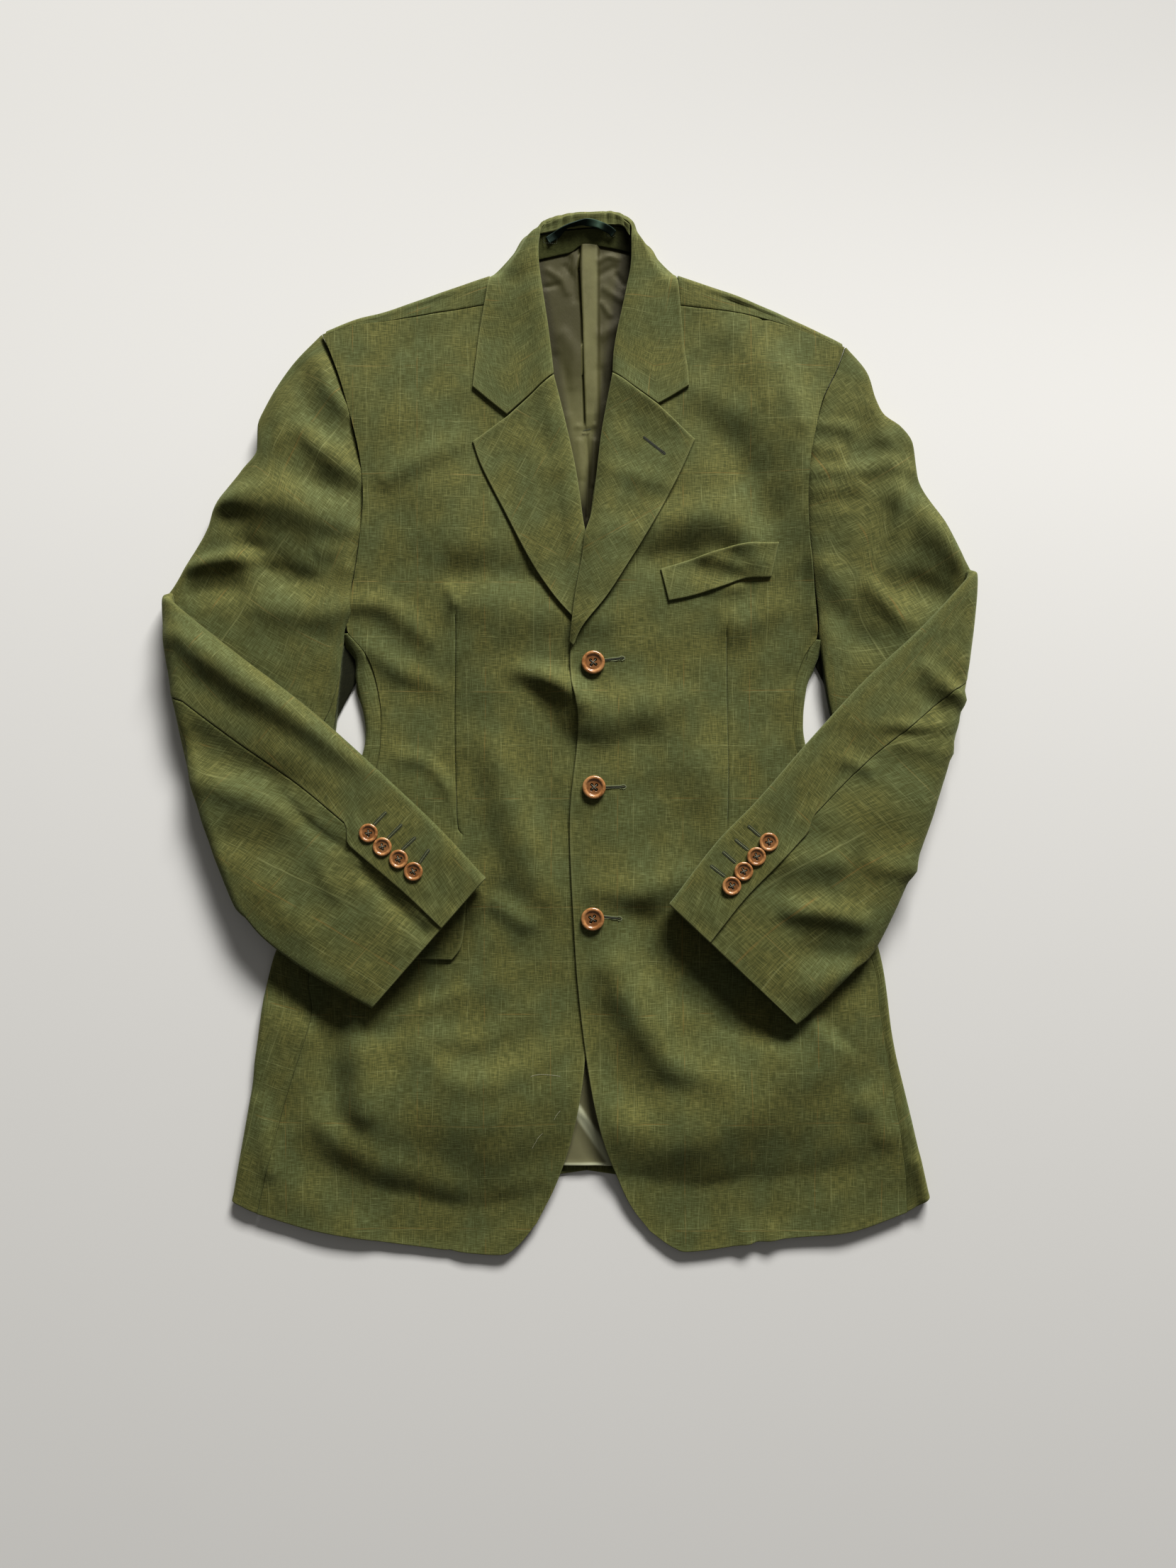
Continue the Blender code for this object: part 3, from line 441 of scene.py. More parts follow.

# %% [markdown]
# ## Lining, felt, ribbon, horn and thread
# The lining is a smooth twill with a soft sheen and fine crush marks. The facing behind the neck
# is felt, and the hanger loop is a ribbed satin. The buttons are polished imitation horn,
# streaked with darker brown, and the threads are twisted. Simple lights are too even far in at
# the neck and at the hem, so light and shade are painted into some colours here: painted shade
# on the lining in the neck and painted shadow beside the roll lines, painted sheen and highlights
# on it at the hem, painted shadow on the felt's end and partly on all of the felt, a painted
# highlight where the loop turns up, painted shade in the buttons' dished middles, and near-black
# beads as painted shade in the front and lapel slits.

# %% Lining, felt and ribbon
PLEAT_MIDDLE = 14.2  # of the lining's box pleat in its cut
PLEAT_HALF = 6.0
PLEAT_BLUR = 1.5
LINING_BROWN, LINING_OLIVE = (0.088, 0.086, 0.036, 1), (0.170, 0.167, 0.078, 1)
NECK_SHADE_SPAN = (235, 330)  # y over which painted shade darkens the lining beside its pleat
NECK_SHADE_SHARE, NECK_SHADE = 0.78, (0.020, 0.018, 0.005, 1)
LEFT_ROLL = (0.152, -13.9)  # a roll line over the lining: x for each mm of y, and x at y 0
RIGHT_ROLL = (-0.163, 34.8)
ROLL_SHADOW_SHARE, ROLL_SHADOW = 0.88, (0.012, 0.011, 0.004, 1)
ROLL_SHADOW_FROM = (60, 90)  # y above which the lapels' shadow is painted on it
HEM_SHEEN_FROM = (-200, -240)  # y below which it gets the hem's painted sheen
CREASE_HIGHLIGHT = (0.684, 205.7)  # a painted highlight along a crease: minus x for each mm of y, and minus x at y 0
CREASE_REACH = (2.0, 8.0)  # from the crease's middle to where it has faded
LIP_HIGHLIGHT = (-351.5, -348.0)  # y of the turned lip, where a highlight is painted
HEM_SHEEN, HEM_HIGHLIGHT = (0.155, 0.150, 0.085, 1), (0.42, 0.43, 0.30, 1)
# the felt's darker green: partly its own colour, partly painted shade from the roll above it
FELT_DARK, FELT_OLIVE = (0.042, 0.047, 0.016, 1), (0.092, 0.099, 0.037, 1)
FELT_END, FELT_END_SHARE = (60, 71), 0.85  # the end under the collar, where its shadow is painted
FELT_SHADE = (0.006, 0.006, 0.002, 1)
SATIN_DARK, SATIN_GREEN = (0.005, 0.008, 0.005, 1), (0.012, 0.018, 0.012, 1)
SATIN_HIGHLIGHT = (0.045, 0.075, 0.052, 1)
LOOP_HIGHLIGHT = (34, 39, 46, 51)  # along the loop, where a highlight is painted on the face that turns up: it starts and ends


def lining_finish():
    finish = Finish("olive tan lining")
    u, v = finish.cloth_plane()
    crush = finish.grain(u, v, 16, 22, 5.0, 0.6)
    twill = ((u + v) * (math.tau / 0.7)).maths("SINE")
    colour = finish.mix(crush, LINING_BROWN, LINING_OLIVE)
    off_pleat = (u - PLEAT_MIDDLE).maths("ABSOLUTE")
    beside_pleat = 1 - off_pleat.between(PLEAT_HALF - PLEAT_BLUR, PLEAT_HALF + PLEAT_BLUR, 1.0, 0.0)
    # painted shade in the neck beside the pleat, where little light gets in
    colour = finish.mix(beside_pleat * v.between(*NECK_SHADE_SPAN) * NECK_SHADE_SHARE, colour, NECK_SHADE)
    from_left = u - (v * LEFT_ROLL[0] + LEFT_ROLL[1])
    from_right = u - (v * RIGHT_ROLL[0] + RIGHT_ROLL[1])
    # painted shadow of the lapels' rolls on the lining, beside each roll line
    roll_shade_mask = from_left.between(-10, -3) + from_right.between(1, 8, 0.7, 0.0)
    colour = finish.mix(roll_shade_mask * v.between(*ROLL_SHADOW_FROM) * ROLL_SHADOW_SHARE, colour, ROLL_SHADOW)
    # painted sheen at the hem, with painted highlights along a crease and on the lip
    off_crease = (u + v * CREASE_HIGHLIGHT[0] + CREASE_HIGHLIGHT[1]).maths("ABSOLUTE")
    shine = off_crease.between(*CREASE_REACH, 1.0, 0.0) + v.between(*LIP_HIGHLIGHT, 1.0, 0.0)
    hem_sheen_colour = finish.mix(shine.between(0.0, 1.0), HEM_SHEEN, HEM_HIGHLIGHT)
    colour = finish.mix(v.between(*HEM_SHEEN_FROM), colour, hem_sheen_colour)
    finish.surface(Base_Color=colour, Roughness=crush.between(0.3, 0.8, 0.42, 0.58),
                   Normal=finish.bumped(twill * 0.1 + crush, 0.4, 0.0006),
                   Specular_IOR_Level=0.2, Specular_Tint=(1.0, 0.93, 0.7, 1))
    return finish.material


def felt_finish():
    finish = Finish("dark green felt")
    u, v = finish.cloth_plane()
    fibre = finish.grain(u, v, 2.2, 1.4, 4.0, 0.6)
    colour = finish.mix(fibre, FELT_DARK, FELT_OLIVE)
    # painted shadow of the collar over the felt's end
    colour = finish.mix(u.between(*FELT_END) * FELT_END_SHARE, colour, FELT_SHADE)
    finish.surface(Base_Color=colour, Roughness=0.9, Normal=finish.bumped(fibre, 0.4, 0.0003),
                   Specular_IOR_Level=0.1)
    return finish.material


def satin_finish():
    finish = Finish("dark green satin ribbon")
    u, v = finish.cloth_plane()
    rib = (v * (math.tau / 0.55)).maths("SINE")
    change = finish.grain(u, v, 6, 14)
    colour = finish.mix(change, SATIN_DARK, SATIN_GREEN)
    # painted highlight where the loop's face turns up to the light
    highlight = v.between(*LOOP_HIGHLIGHT[:2]) * (1 - v.between(*LOOP_HIGHLIGHT[2:]))
    colour = finish.mix(highlight, colour, SATIN_HIGHLIGHT)
    finish.surface(Base_Color=colour, Roughness=0.5, Normal=finish.bumped(rib, 0.5, 0.00012),
                   Specular_IOR_Level=0.35, Specular_Tint=(0.55, 0.9, 0.8, 1))
    return finish.material


LINING_FINISH, SATIN_FINISH, FELT_FINISH = lining_finish(), satin_finish(), felt_finish()
print(LINING_FINISH.name, "and", SATIN_FINISH.name)

# %% Horn and thread
HORN_BROWN, HORN_TAN = (0.235, 0.100, 0.032, 1), (0.430, 0.215, 0.085, 1)
HORN_PALE, CLOUD_SHARE = (0.52, 0.29, 0.13, 1), 0.5
BOWL_SHADE, BOWL_SHADE_SHARE = (0.115, 0.045, 0.013, 1), 0.62  # painted shade in the dished middle inside the rim


def horn_finish():
    finish = Finish("tan horn")
    grain = finish.solid_noise(Scale=260.0, Detail=4.0, Distortion=0.8)
    cloud = finish.solid_noise(Scale=70.0)
    body = finish.mix(grain.between(0.3, 0.7), HORN_BROWN, HORN_TAN)
    body = finish.mix(cloud.between(0.45, 0.8) * CLOUD_SHARE, body, HORN_PALE)
    # painted shade in the dished middle
    body = finish.mix(finish.mask("bowl") * BOWL_SHADE_SHARE, body, BOWL_SHADE)
    finish.surface(Base_Color=body, Roughness=grain.between(0.2, 0.8, 0.24, 0.36),
                   Normal=finish.bumped(grain, 0.08, 0.0004), Coat_Weight=0.5,
                   Coat_Roughness=0.12)
    return finish.material


def thread_finish(name, colour, fleck):
    finish = Finish(name)
    twist = finish.solid_noise(Scale=2600.0, Detail=3.0)
    finish.surface(Base_Color=finish.mix(twist, colour, fleck), Roughness=0.7,
                   Normal=finish.bumped(twist, 0.4, 0.0001), Sheen_Weight=0.05)
    return finish.material


HORN_FINISH = horn_finish()
GREEN_THREAD = thread_finish("green thread", (0.012, 0.015, 0.006, 1), (0.050, 0.058, 0.026, 1))
GREY_THREAD = thread_finish("grey thread", (0.07, 0.07, 0.05, 1), (0.20, 0.20, 0.15, 1))
PURL_THREAD = thread_finish("pale green thread", (0.075, 0.088, 0.040, 1), (0.210, 0.230, 0.125, 1))
# painted shade: near-black beads laid in a buttonhole's slit stand for the shade inside it
DARK_SLIT = thread_finish("shaded slit", (0.006, 0.007, 0.003, 1), (0.014, 0.016, 0.008, 1))
PALE_HAIR = thread_finish("pale loose thread", (0.30, 0.29, 0.20, 1), (0.48, 0.47, 0.36, 1))
print("finishes:", len(bpy.data.materials))

# %% [markdown]
# ## Cloth as a wall
# Cloth could be one sheet with Solidify, but its cut edges would be square. Here each piece is a
# grid of middle points; the script lays a face on each side and rolls a small round rim between
# them. A turned edge gets a full rim and a little extra body from its seam allowance. The grid
# also carries the flat cut as a UV map, and the size each piece was cut to is recorded and printed.

# %% Walls
SEAM_ROUND = 0.45  # how far a sewn edge is rounded
TURNED_LIFT = 0.28  # extra half thickness at a turned edge
TURNED_MIDDLE, TURNED_WIDTH = 1.5, 3.0  # where it is, in from the edge
WORN_WIDTH = 1.7  # how far in a turned edge is worn
FAR_OFF = 99.0  # stands for no turned edge at all
RIM_SHARE = 0.45  # of the last grid step that a rim may take
RIM = np.radians((50.0, 0.0, -50.0))  # where the rim has points
NARROWEST_CUT = 10.2  # a narrower strip is cut this wide and turned in
cut_sizes = {}


def normals(grid):
    return unit(np.cross(np.gradient(grid, axis=1), np.gradient(grid, axis=0)))


def steps_of(grid, axis):
    """Distance along the grid's rows (axis 0) or columns (axis 1)."""
    size = np.linalg.norm(np.diff(grid, axis=axis), axis=2)
    first = np.zeros_like(np.take(size, [0], axis=axis))
    return np.concatenate((first, np.cumsum(size, axis=axis)), axis=axis)


def loop_round(rows, columns):
    """Row and column numbers round a grid's border."""
    return ([(0, c) for c in range(columns - 1)] + [(r, columns - 1) for r in range(rows - 1)]
            + [(rows - 1, c) for c in range(columns - 1, 0, -1)] + [(r, 0) for r in range(rows - 1, 0, -1)])


def cloth_shell(grid, flat, thickness=CLOTH, turned=""):
    """A closed wall round a grid of middle points: points, faces, flat cut, wear at the edges."""
    rows, columns = grid.shape[:2]
    up, across = steps_of(grid, 0), steps_of(grid, 1)
    far = {"low": up, "high": up[-1:] - up, "start": across, "end": across[:, -1:] - across}
    near = np.min([far[name] for name in turned.split()] or [np.full((rows, columns), FAR_OFF)], axis=0)
    half = thickness / 2 + TURNED_LIFT * bell(near - TURNED_MIDDLE, TURNED_WIDTH) * (thickness / CLOTH)
    out = np.zeros_like(grid)
    inset = {name: half if name in turned.split() else np.full_like(half, SEAM_ROUND) for name in far}
    for name, border, inner in (("low", np.s_[0], np.s_[1]), ("high", np.s_[-1], np.s_[-2]),
                                ("start", np.s_[:, 0], np.s_[:, 1]), ("end", np.s_[:, -1], np.s_[:, -2])):
        away = grid[border] - grid[inner]
        room = np.linalg.norm(away, axis=1) * RIM_SHARE
        out[border] += unit(away) * np.minimum(inset[name][border], room)[:, None]
    middle = grid - out
    lift = normals(grid) * half[..., None]
    loop = loop_round(rows, columns)
    r, c = np.array(loop).T
    rings = [middle[r, c] + out[r, c] * math.cos(a) + lift[r, c] * math.sin(a) for a in RIM]
    points = np.vstack([(middle + lift).reshape(-1, 3), (middle - lift).reshape(-1, 3), *rings])
    cut = np.vstack([flat.reshape(-1, 2)] * 2 + [flat[r, c]] * len(RIM))
    worn = bell(near, WORN_WIDTH)
    worn = np.concatenate([worn.ravel()] * 2 + [worn[r, c]] * len(RIM))
    number = np.arange(rows * columns).reshape(rows, columns)
    quads = np.stack((number[:-1, :-1], number[:-1, 1:], number[1:, 1:], number[1:, :-1]), -1)
    quads = quads.reshape(-1, 4)
    layers = [number[r, c]]
    layers += [2 * number.size + k * len(loop) + np.arange(len(loop)) for k in range(len(RIM))]
    layers.append(number[r, c] + number.size)
    rim = [np.stack((b, np.roll(b, -1), np.roll(t, -1), t), -1) for t, b in zip(layers, layers[1:])]
    faces = np.vstack([quads, quads[:, ::-1] + number.size, *rim])
    return points, faces, cut, worn

# %% Pieces of cloth


def carry(mesh, name, values):
    """Store a number at each point, for the finish to read as a mask."""
    mesh.attributes.new(name, "FLOAT", "POINT").data.foreach_set("value", values.astype(np.float32))


def piece_from(node, shells, finish, shade=None):
    """One object from closed shells in mm, in place in the frame, standing for a CAD node."""
    name = node + "_sewn"
    points = np.vstack([s[0] for s in shells])
    points[:, 2] = np.maximum(points[:, 2], 0.0)  # the surface that it lies on
    starts = np.cumsum([0] + [len(s[0]) for s in shells])
    faces = np.vstack([s[1] + start for s, start in zip(shells, starts)])
    mesh = bpy.data.meshes.new(name)
    mesh.from_pydata(((points - PLAN_MIDDLE) * MM).tolist(), [], faces.tolist())
    corner = np.zeros(len(mesh.loops), np.int32)
    mesh.loops.foreach_get("vertex_index", corner)
    cut = np.vstack([s[2] for s in shells]) * MM
    mesh.uv_layers.new(name="cloth").data.foreach_set("uv", cut[corner].ravel())
    carry(mesh, "edge", np.concatenate([s[3] for s in shells]))
    if shade:
        carry(mesh, "painted_gap_shade", shade(points))
    mesh.shade_smooth()
    mesh.materials.append(finish)
    piece = placed(name, mesh)
    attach(piece, "root")
    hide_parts(node)
    return piece


def flat_area(flat):
    """Area of a flat cut, in square metres."""
    a = flat[1:, 1:] - flat[:-1, :-1]
    b = flat[1:, :-1] - flat[:-1, 1:]
    return float(np.abs(a[..., 0] * b[..., 1] - a[..., 1] * b[..., 0]).sum() / 2) * MM * MM


def cut_piece(name, grids, flats, finish=None, thickness=CLOTH, turned=("",),
              shade=None):
    shells = [cloth_shell(g, f, thickness, t) for g, f, t in zip(grids, flats, turned)]
    piece = piece_from(name, shells, finish or CLOTH_FINISH, shade)
    everything = np.vstack([f.reshape(-1, 2) for f in flats])
    width, length = np.maximum(np.ptp(everything, axis=0), NARROWEST_CUT) * MM
    area = sum(flat_area(f) for f in flats)
    cut_sizes[name] = (round(width * 1000), round(length * 1000), round(area, 4))
    print(name, "cut", cut_sizes[name], "triangles", 2 * sum(len(s[1]) for s in shells))
    return piece

# %% [markdown]
# ## Folds, one by one
# A simulation would invent its own folds, and this garment was laid out by hand: it has broad
# soft swells over the chest and skirt, pulls at the buttons, and diagonal troughs at the elbows.
# So each fold is a line of a few points with a width and a height at each, and a bell-shaped
# section. Uneven sizes keep them from looking combed. The numbers are x, y, width, height in mm.

# %% Folds of the body
BODY_FOLDS = [
    # swells of the chest and belly
    [(-143, 228, 60, 3), (-119, 182, 60, 3.5)],
    [(158, 228, 60, 2.5), (146, 194, 55, 2.5)],
    [(-119, 15, 50, -2.5), (-50, -25, 55, -2.5)],
    # pulls over the chest, towards the top button and the armholes
    [(-105, 149, 12, 0.8), (-85, 156, 13, 1.5), (-59, 158, 12, 0.6)],
    [(-96, 132, 12, -1.6), (-62, 130, 14, -1.8), (-36, 128, 10, -1.5)],
    [(-91, 107, 16, 1.8), (-56, 100, 20, 2.8), (-18, 95, 16, 2)],
    [(-99, 117, 5, 1.8), (-96, 107, 5, 1.5)],
    [(-178, 106, 8, 2.2), (-151, 103, 10, 3), (-119, 78, 10, 1.6)],
    [(-166, 70, 9, 1.5), (-137, 50, 10, 2.4), (-108, 38, 8, 1.2)],
    [(-149, 207, 9, 1.6), (-119, 224, 10, 2.2), (-91, 237, 8, 0.8)],
    [(103, 279, 14, 1.4), (129, 266, 15, 1.9), (149, 250, 14, 1.2)],
    [(134, 327, 20, 1.8), (155, 298, 24, 3.2), (175, 257, 26, 4.8), (192, 211, 26, 5),
     (201, 148, 22, 4.4)],
    [(111, 252, 14, -1.5), (137, 223, 16, -2.5), (158, 177, 16, -2.5)],
    [(172, 298, 9, 1.4), (185, 252, 8, 1.5)],
    [(54, 159, 12, 1.6), (77, 172, 14, 3.2), (106, 175, 17, 4.4), (134, 166, 17, 4.2),
     (147, 142, 12, 2.4)],
    [(65, 142, 10, -2), (91, 142, 12, -3), (103, 136, 10, -2)],
    [(103, 144, 6, 0.8), (120, 142, 6, 1.4), (136, 135, 6, 1.4)],
    [(114, 118, 6, 1), (134, 120, 6, 1.6)],
    [(198, 182, 8, 1.6), (199, 136, 8, 1.8), (198, 90, 8, 1.4)],
    [(134, 90, 14, 2.2), (160, 102, 14, 1.6)],
    # the sharp pull between the first two buttons, and the belly
    [(-42, 52, 8, 2.5), (-21, 46, 9, 6), (-2, 37, 10, 7.6), (6, 29, 10, 4.6)],
    [(5, 18, 18, 4), (25, 15, 22, 5), (54, 20, 18, 3.8), (88, 29, 12, 1.8)],
    [(-24, 15, 10, -2), (-4, -11, 14, -2)],
    [(13, -15, 12, -1.6), (54, -2, 12, -1.6)],
    [(-62, -14, 16, 3.4), (-49, -54, 18, 5.4), (-38, -95, 18, 5.4), (-25, -130, 14, 2.8)],
    [(-88, -37, 12, -2.4), (-80, -95, 16, -3.2)],
    [(25, -128, 12, 2), (54, -128, 14, 3.4), (88, -115, 14, 3)],
    [(-62, -138, 9, 2.2), (-38, -153, 9, 2.6)],
    [(-140, -18, 7, 1.2), (-119, -23, 7, 1.8), (-101, -43, 7, 2), (-95, -66, 6, 1.2)],
    [(111, -31, 20, 2.2), (117, -83, 20, 2.2)],
    # hollows that lie beside the cuffs
    [(51, -150, 14, -2.4), (83, -190, 18, -3.4), (134, -231, 18, -3.4), (181, -246, 14, -2.4)],
    [(-62, -130, 12, -2), (-88, -177, 15, -3), (-125, -220, 15, -3), (-166, -240, 14, -2.4)],
    [(-275, -170, 10, -2), (-235, -208, 14, -3), (-194, -233, 14, -3)],
    # the skirt's long arcs
    [(-154, -302, 34, 5), (-91, -309, 42, 7.4), (-21, -298, 38, 5.6)],
    [(-203, -317, 11, 1.8), (-177, -338, 13, 2.2), (-143, -352, 15, 2.2), (-96, -367, 14, 1.8)],
    [(-212, -349, 18, -2.6), (-151, -384, 18, -3.4), (-91, -398, 16, -3.4), (-33, -383, 14, -1.6)],
    [(-119, -260, 14, 2), (-91, -280, 14, 3), (-50, -279, 12, 2.4), (-13, -256, 10, 1)],
    [(-170, -210, 13, 3.6), (-169, -256, 15, 5), (-168, -305, 13, 3.6)],
    [(-197, -210, 14, -3), (-198, -268, 14, -3.4), (-194, -308, 12, -2)],
    [(-254, -302, 8, 1.5), (-246, -354, 8, 1.8)],
    [(-151, -233, 8, 1.8), (-119, -220, 9, 2.2), (-96, -211, 7, 1.2)],
    [(-108, -246, 9, 1.2), (-80, -250, 10, 1.6), (-53, -240, 8, 1)],
    [(48, -321, 26, 4.6), (111, -317, 34, 7), (155, -294, 38, 7.6), (186, -262, 38, 7),
     (215, -239, 30, 4.6)],
    [(54, -379, 18, -3.2), (117, -379, 18, -3.6), (169, -377, 18, -3.2), (221, -354, 20, -2)],
    [(35, -192, 15, 4.2), (57, -233, 16, 6.2), (83, -269, 15, 5.6), (117, -278, 14, 2.6)],
    [(22, -233, 14, -1.6), (36, -279, 16, -2.2), (71, -314, 14, -2)],
    [(241, -304, 12, 2.6), (253, -325, 12, 2.4)],
    [(144, -420, 6, 1.8), (139, -395, 8, 1.2)],
    [(164, -415, 6, 1.6), (159, -395, 7, 1)],
    [(281, -349, 6, 2), (287, -377, 6, 2)],
]
SEED = 7
WAVES = 7  # random waves in one direction each
WAVES_REACH = 4  # their sum is nearly always within this
FOLD_FOOT = 2.6  # widths from a fold's line to where it has run out


def relief(folds, x, y):
    """Height that a list of folds adds at plan points."""
    total = np.zeros_like(x)
    for fold in folds:
        line = through(fold, 5)
        reach = FOLD_FOOT * line[:, 2].max()
        near = ((x > line[:, 0].min() - reach) & (x < line[:, 0].max() + reach)
                & (y > line[:, 1].min() - reach) & (y < line[:, 1].max() + reach))
        if not near.any():
            continue
        at = np.stack((x[near], y[near]), -1)[:, None]
        a, b = line[None, :-1], line[None, 1:]
        ab = (b - a)[..., :2]
        t = np.clip(((at - a[..., :2]) * ab).sum(-1) / np.maximum((ab * ab).sum(-1), 1e-9), 0, 1)
        away = np.linalg.norm(at - a[..., :2] - ab * t[..., None], axis=-1)
        k = away.argmin(1)
        row = np.arange(len(k))
        share = t[row, k]
        width = line[k, 2] + (line[k + 1, 2] - line[k, 2]) * share
        height = line[k, 3] + (line[k + 1, 3] - line[k, 3]) * share
        total[near] += height * bell(away[row, k], width)
    return total


def unevenness(x, y, size, seed=SEED):
    """Soft random waves of about this size, from -1 to 1."""
    rng = np.random.default_rng(seed)
    total = np.zeros_like(x)
    for _ in range(WAVES):
        turn, phase, stretch = (rng.uniform(*span) for span in ((0, math.tau), (0, math.tau), (0.7, 1.5)))
        total += np.sin((x * math.cos(turn) + y * math.sin(turn)) * math.tau / (size * stretch) + phase)
    return total / WAVES_REACH


def middle_of(node):
    """Middle of a CAD node in the plan, its lowest height and its width, in mm."""
    low, high = (np.array(corner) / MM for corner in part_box(node))
    return (low + high)[:2] / 2 + PLAN_MIDDLE[:2], low[2], (high - low)[0]


FRONT_BUTTON_PLACES = [middle_of(f"front_button_{k}")[0] for k in (1, 2, 3)]


FOLD_DEPTH = 1.5  # all of the folds above, against their numbers
LOWEST_Z = 3.6  # a front's middle over the back
MIDDLE_RISE = 1.6  # more of it over the lining
HIGHEST_Z = 22.0
ARM_PRESS = 10.8  # how much lower that is under a forearm
HEM_FALL, HEM_EASE = 2.2, (320.0, 420.0)
CUFF_Y = -117.0  # where the cuffs come nearest to the middle
ARM_CLEAR = (50.0, 80.0)
ARM_TOP = (60.0, 110.0)
BODY_WAVES = ((1.3, 95), (0.5, 33))  # height and size of the uneven waves
BUTTON_CALM = 15.0  # a button holds the cloth level this far round
MIDDLE_WIDTH = 50.0  # half width of the strip over the lining's pleat


def body_relief(x, y):
    height = FOLD_DEPTH * relief(BODY_FOLDS, x, y)
    for k, (rise, size) in enumerate(BODY_WAVES):
        height = height + rise * unevenness(x, y, size, SEED + k)
    for bx, by in FRONT_BUTTON_PLACES:
        height = height * (1 - bell(np.hypot(x - bx, y - by), BUTTON_CALM))
    return height


def body_z(x, y):
    side = (SIDE_Z - BODY_Z) * ramp(np.abs(x - CENTRE_X), CHEST_EASE)
    return BODY_Z + side - HEM_FALL * ramp(-y, HEM_EASE)


def kept_between(z, low, high, ease=0.7):
    """Heights eased so that they stay over low and under high."""
    z = low + ease * np.logaddexp(0, (z - low) / ease)
    return high - ease * np.logaddexp(0, (high - z) / ease)


def lower_z(x, y):
    """Middle of the wearer's right front: over the lining, and under the sleeves where they lie."""
    middle = bell(x - CENTRE_X, MIDDLE_WIDTH)
    under_arm = ramp(np.abs(x - CENTRE_X) - np.abs(y - CUFF_Y), ARM_CLEAR) * (1 - ramp(y, ARM_TOP))
    return kept_between(body_z(x, y) + body_relief(x, y), LOWEST_Z + MIDDLE_RISE * middle,
                        HIGHEST_Z - ARM_PRESS * under_arm)


def upper_z(x, y):
    """Middle of the left front, which rises over the right front and its lapel."""
    over = (1 - ramp(x, OVERLAP)) * (1 - ramp(y, CROSSING)) * (1 + ramp(y, LAPEL_CROSSING))
    return lower_z(x, y) + LAYER * over


print("the belly's folds go from", round(float(relief(BODY_FOLDS, *np.meshgrid(
    np.arange(-250, 280, 10.0), np.arange(-400, 330, 10.0))).min()), 1), "mm")

# %% [markdown]
# ## The fronts
# A front is shaped by its dart: a pinch of cloth sewn away from the chest to the pocket. One
# patch could not show it, so two patches share the dart's line, with fine steps beside it, and
# the line is pressed in. The front edge and hem are turned edges, the other borders are seams.

# %% Fronts
DART_STEPS = np.array([0.0, 0.7, 1.5, 2.7, 4.2, 6.5, 9.0])
LAPEL_FOOT = {"right": 95.0, "left": 75.0}  # y above which a front's edge is the roll line
DART_LINE, DART_HOLLOW = (0.9, 0.9), (0.8, 13)  # depth and width of the sewn line and round it
DART_EASE = ((-4, 12), (-25, 4))  # its ends fade over this, from each end's y
ROLL_HOLLOW, ROLL_EASE = (1.1, 6), 25  # depth and width of the dip beside the roll


def two_spans(first, second):
    """Fractions over two neighbouring spans, in one list for each."""
    return spread(first, edge=DART_STEPS), spread(second, edge=DART_STEPS)


def front(side_name, half, height):
    outer = np.vstack((through(half["front_side"])[::-1], through(half["armhole"])[::-1][1:]))
    inner, dart = through(half["front_edge"]), through(half["dart"])
    low_out, low_in = split_at(through(half["hem"]), dart[0])
    top = np.vstack((through(half["shoulder_seam"])[::-1], through(half["neck"])[::-1][1:]))
    top_out, top_in = split_at(top, dart[-1])
    v = spread(reach_along(outer)[-1])
    widest = np.array([np.ptp(top_out[:, 0]), np.ptp(low_out[:, 0]), np.ptp(low_in[:, 0])])
    u_out, u_in = two_spans(max(widest[0], widest[1]), widest[2])
    side_part = filled(low_out, top_out, outer, dart, u_out, v)
    edge_part = filled(low_in, top_in, dart, inner, u_in, v)
    plan = np.hstack((side_part, edge_part[:, 1:]))
    across = steps_of(plan, 1)
    to_dart = across - across[:, len(u_out) - 1:len(u_out)]
    to_edge = across[:, -1:] - across
    y = plan[..., 1]
    (low, high), (low_ease, high_ease) = half["dart_ends"], DART_EASE
    sewn = ramp(y, (low + low_ease[0], low + low_ease[1]))
    sewn = sewn * (1 - ramp(y, (high + high_ease[0], high + high_ease[1])))
    pressed = -sewn * sum(depth * bell(to_dart, width) for depth, width in (DART_LINE, DART_HOLLOW))
    foot = LAPEL_FOOT[side_name]
    pressed = pressed - ROLL_HOLLOW[0] * bell(to_edge, ROLL_HOLLOW[1]) * ramp(y, (foot, foot + ROLL_EASE))
    grid = with_height(plan, height)
    grid[..., 2] += pressed
    return cut_piece("front_" + side_name, [grid], [plan], turned=["low end"])


front("right", RIGHT, lower_z)
front("left", LEFT, upper_z)

# %% [markdown]
# ## Side panels and backs
# The side panel starts at the front seam, rolls round the edge of the laid body and runs
# underneath to the back seam. The back lies flat and folds over the shoulder to the forward
# shoulder seam. Both are lofted from their own seam lines, the fold being half an ellipse.

# %% Side panels
FOLD_TURNS = np.radians(np.linspace(90, -90, 13))
UNDERARM = dict(right=(12.0, (12, 50)), left=(13.0, (36, 68)))  # reach under the sleeve and its y
SEAM_SINK = 0.9  # a piece lies lower along its seam
SINK_WIDTH = 3.0
PANEL_CLEAR = 1.2  # the side panel's top end, below the sleeve
TOP_COLUMNS, UNDER_COLUMNS = 14, 26  # across the panel's upper and lower face


def fold_round(edge, out, inward, reach, high, flare=0.0):
    """Points round a fold from the top cloth to the back: (points, 3) for each row."""
    mid, rise = (high + BACK_Z) / 2, (high - BACK_Z) / 2
    line = []
    for turn in FOLD_TURNS:
        away = out if turn > 0 else -inward
        plan = edge - away * (reach * (1 - math.cos(turn)) - flare * (1 - math.sin(turn)) / 2)[:, None]
        line.append(np.column_stack((plan, mid + rise * math.sin(turn))))
    return np.stack(line, axis=1)


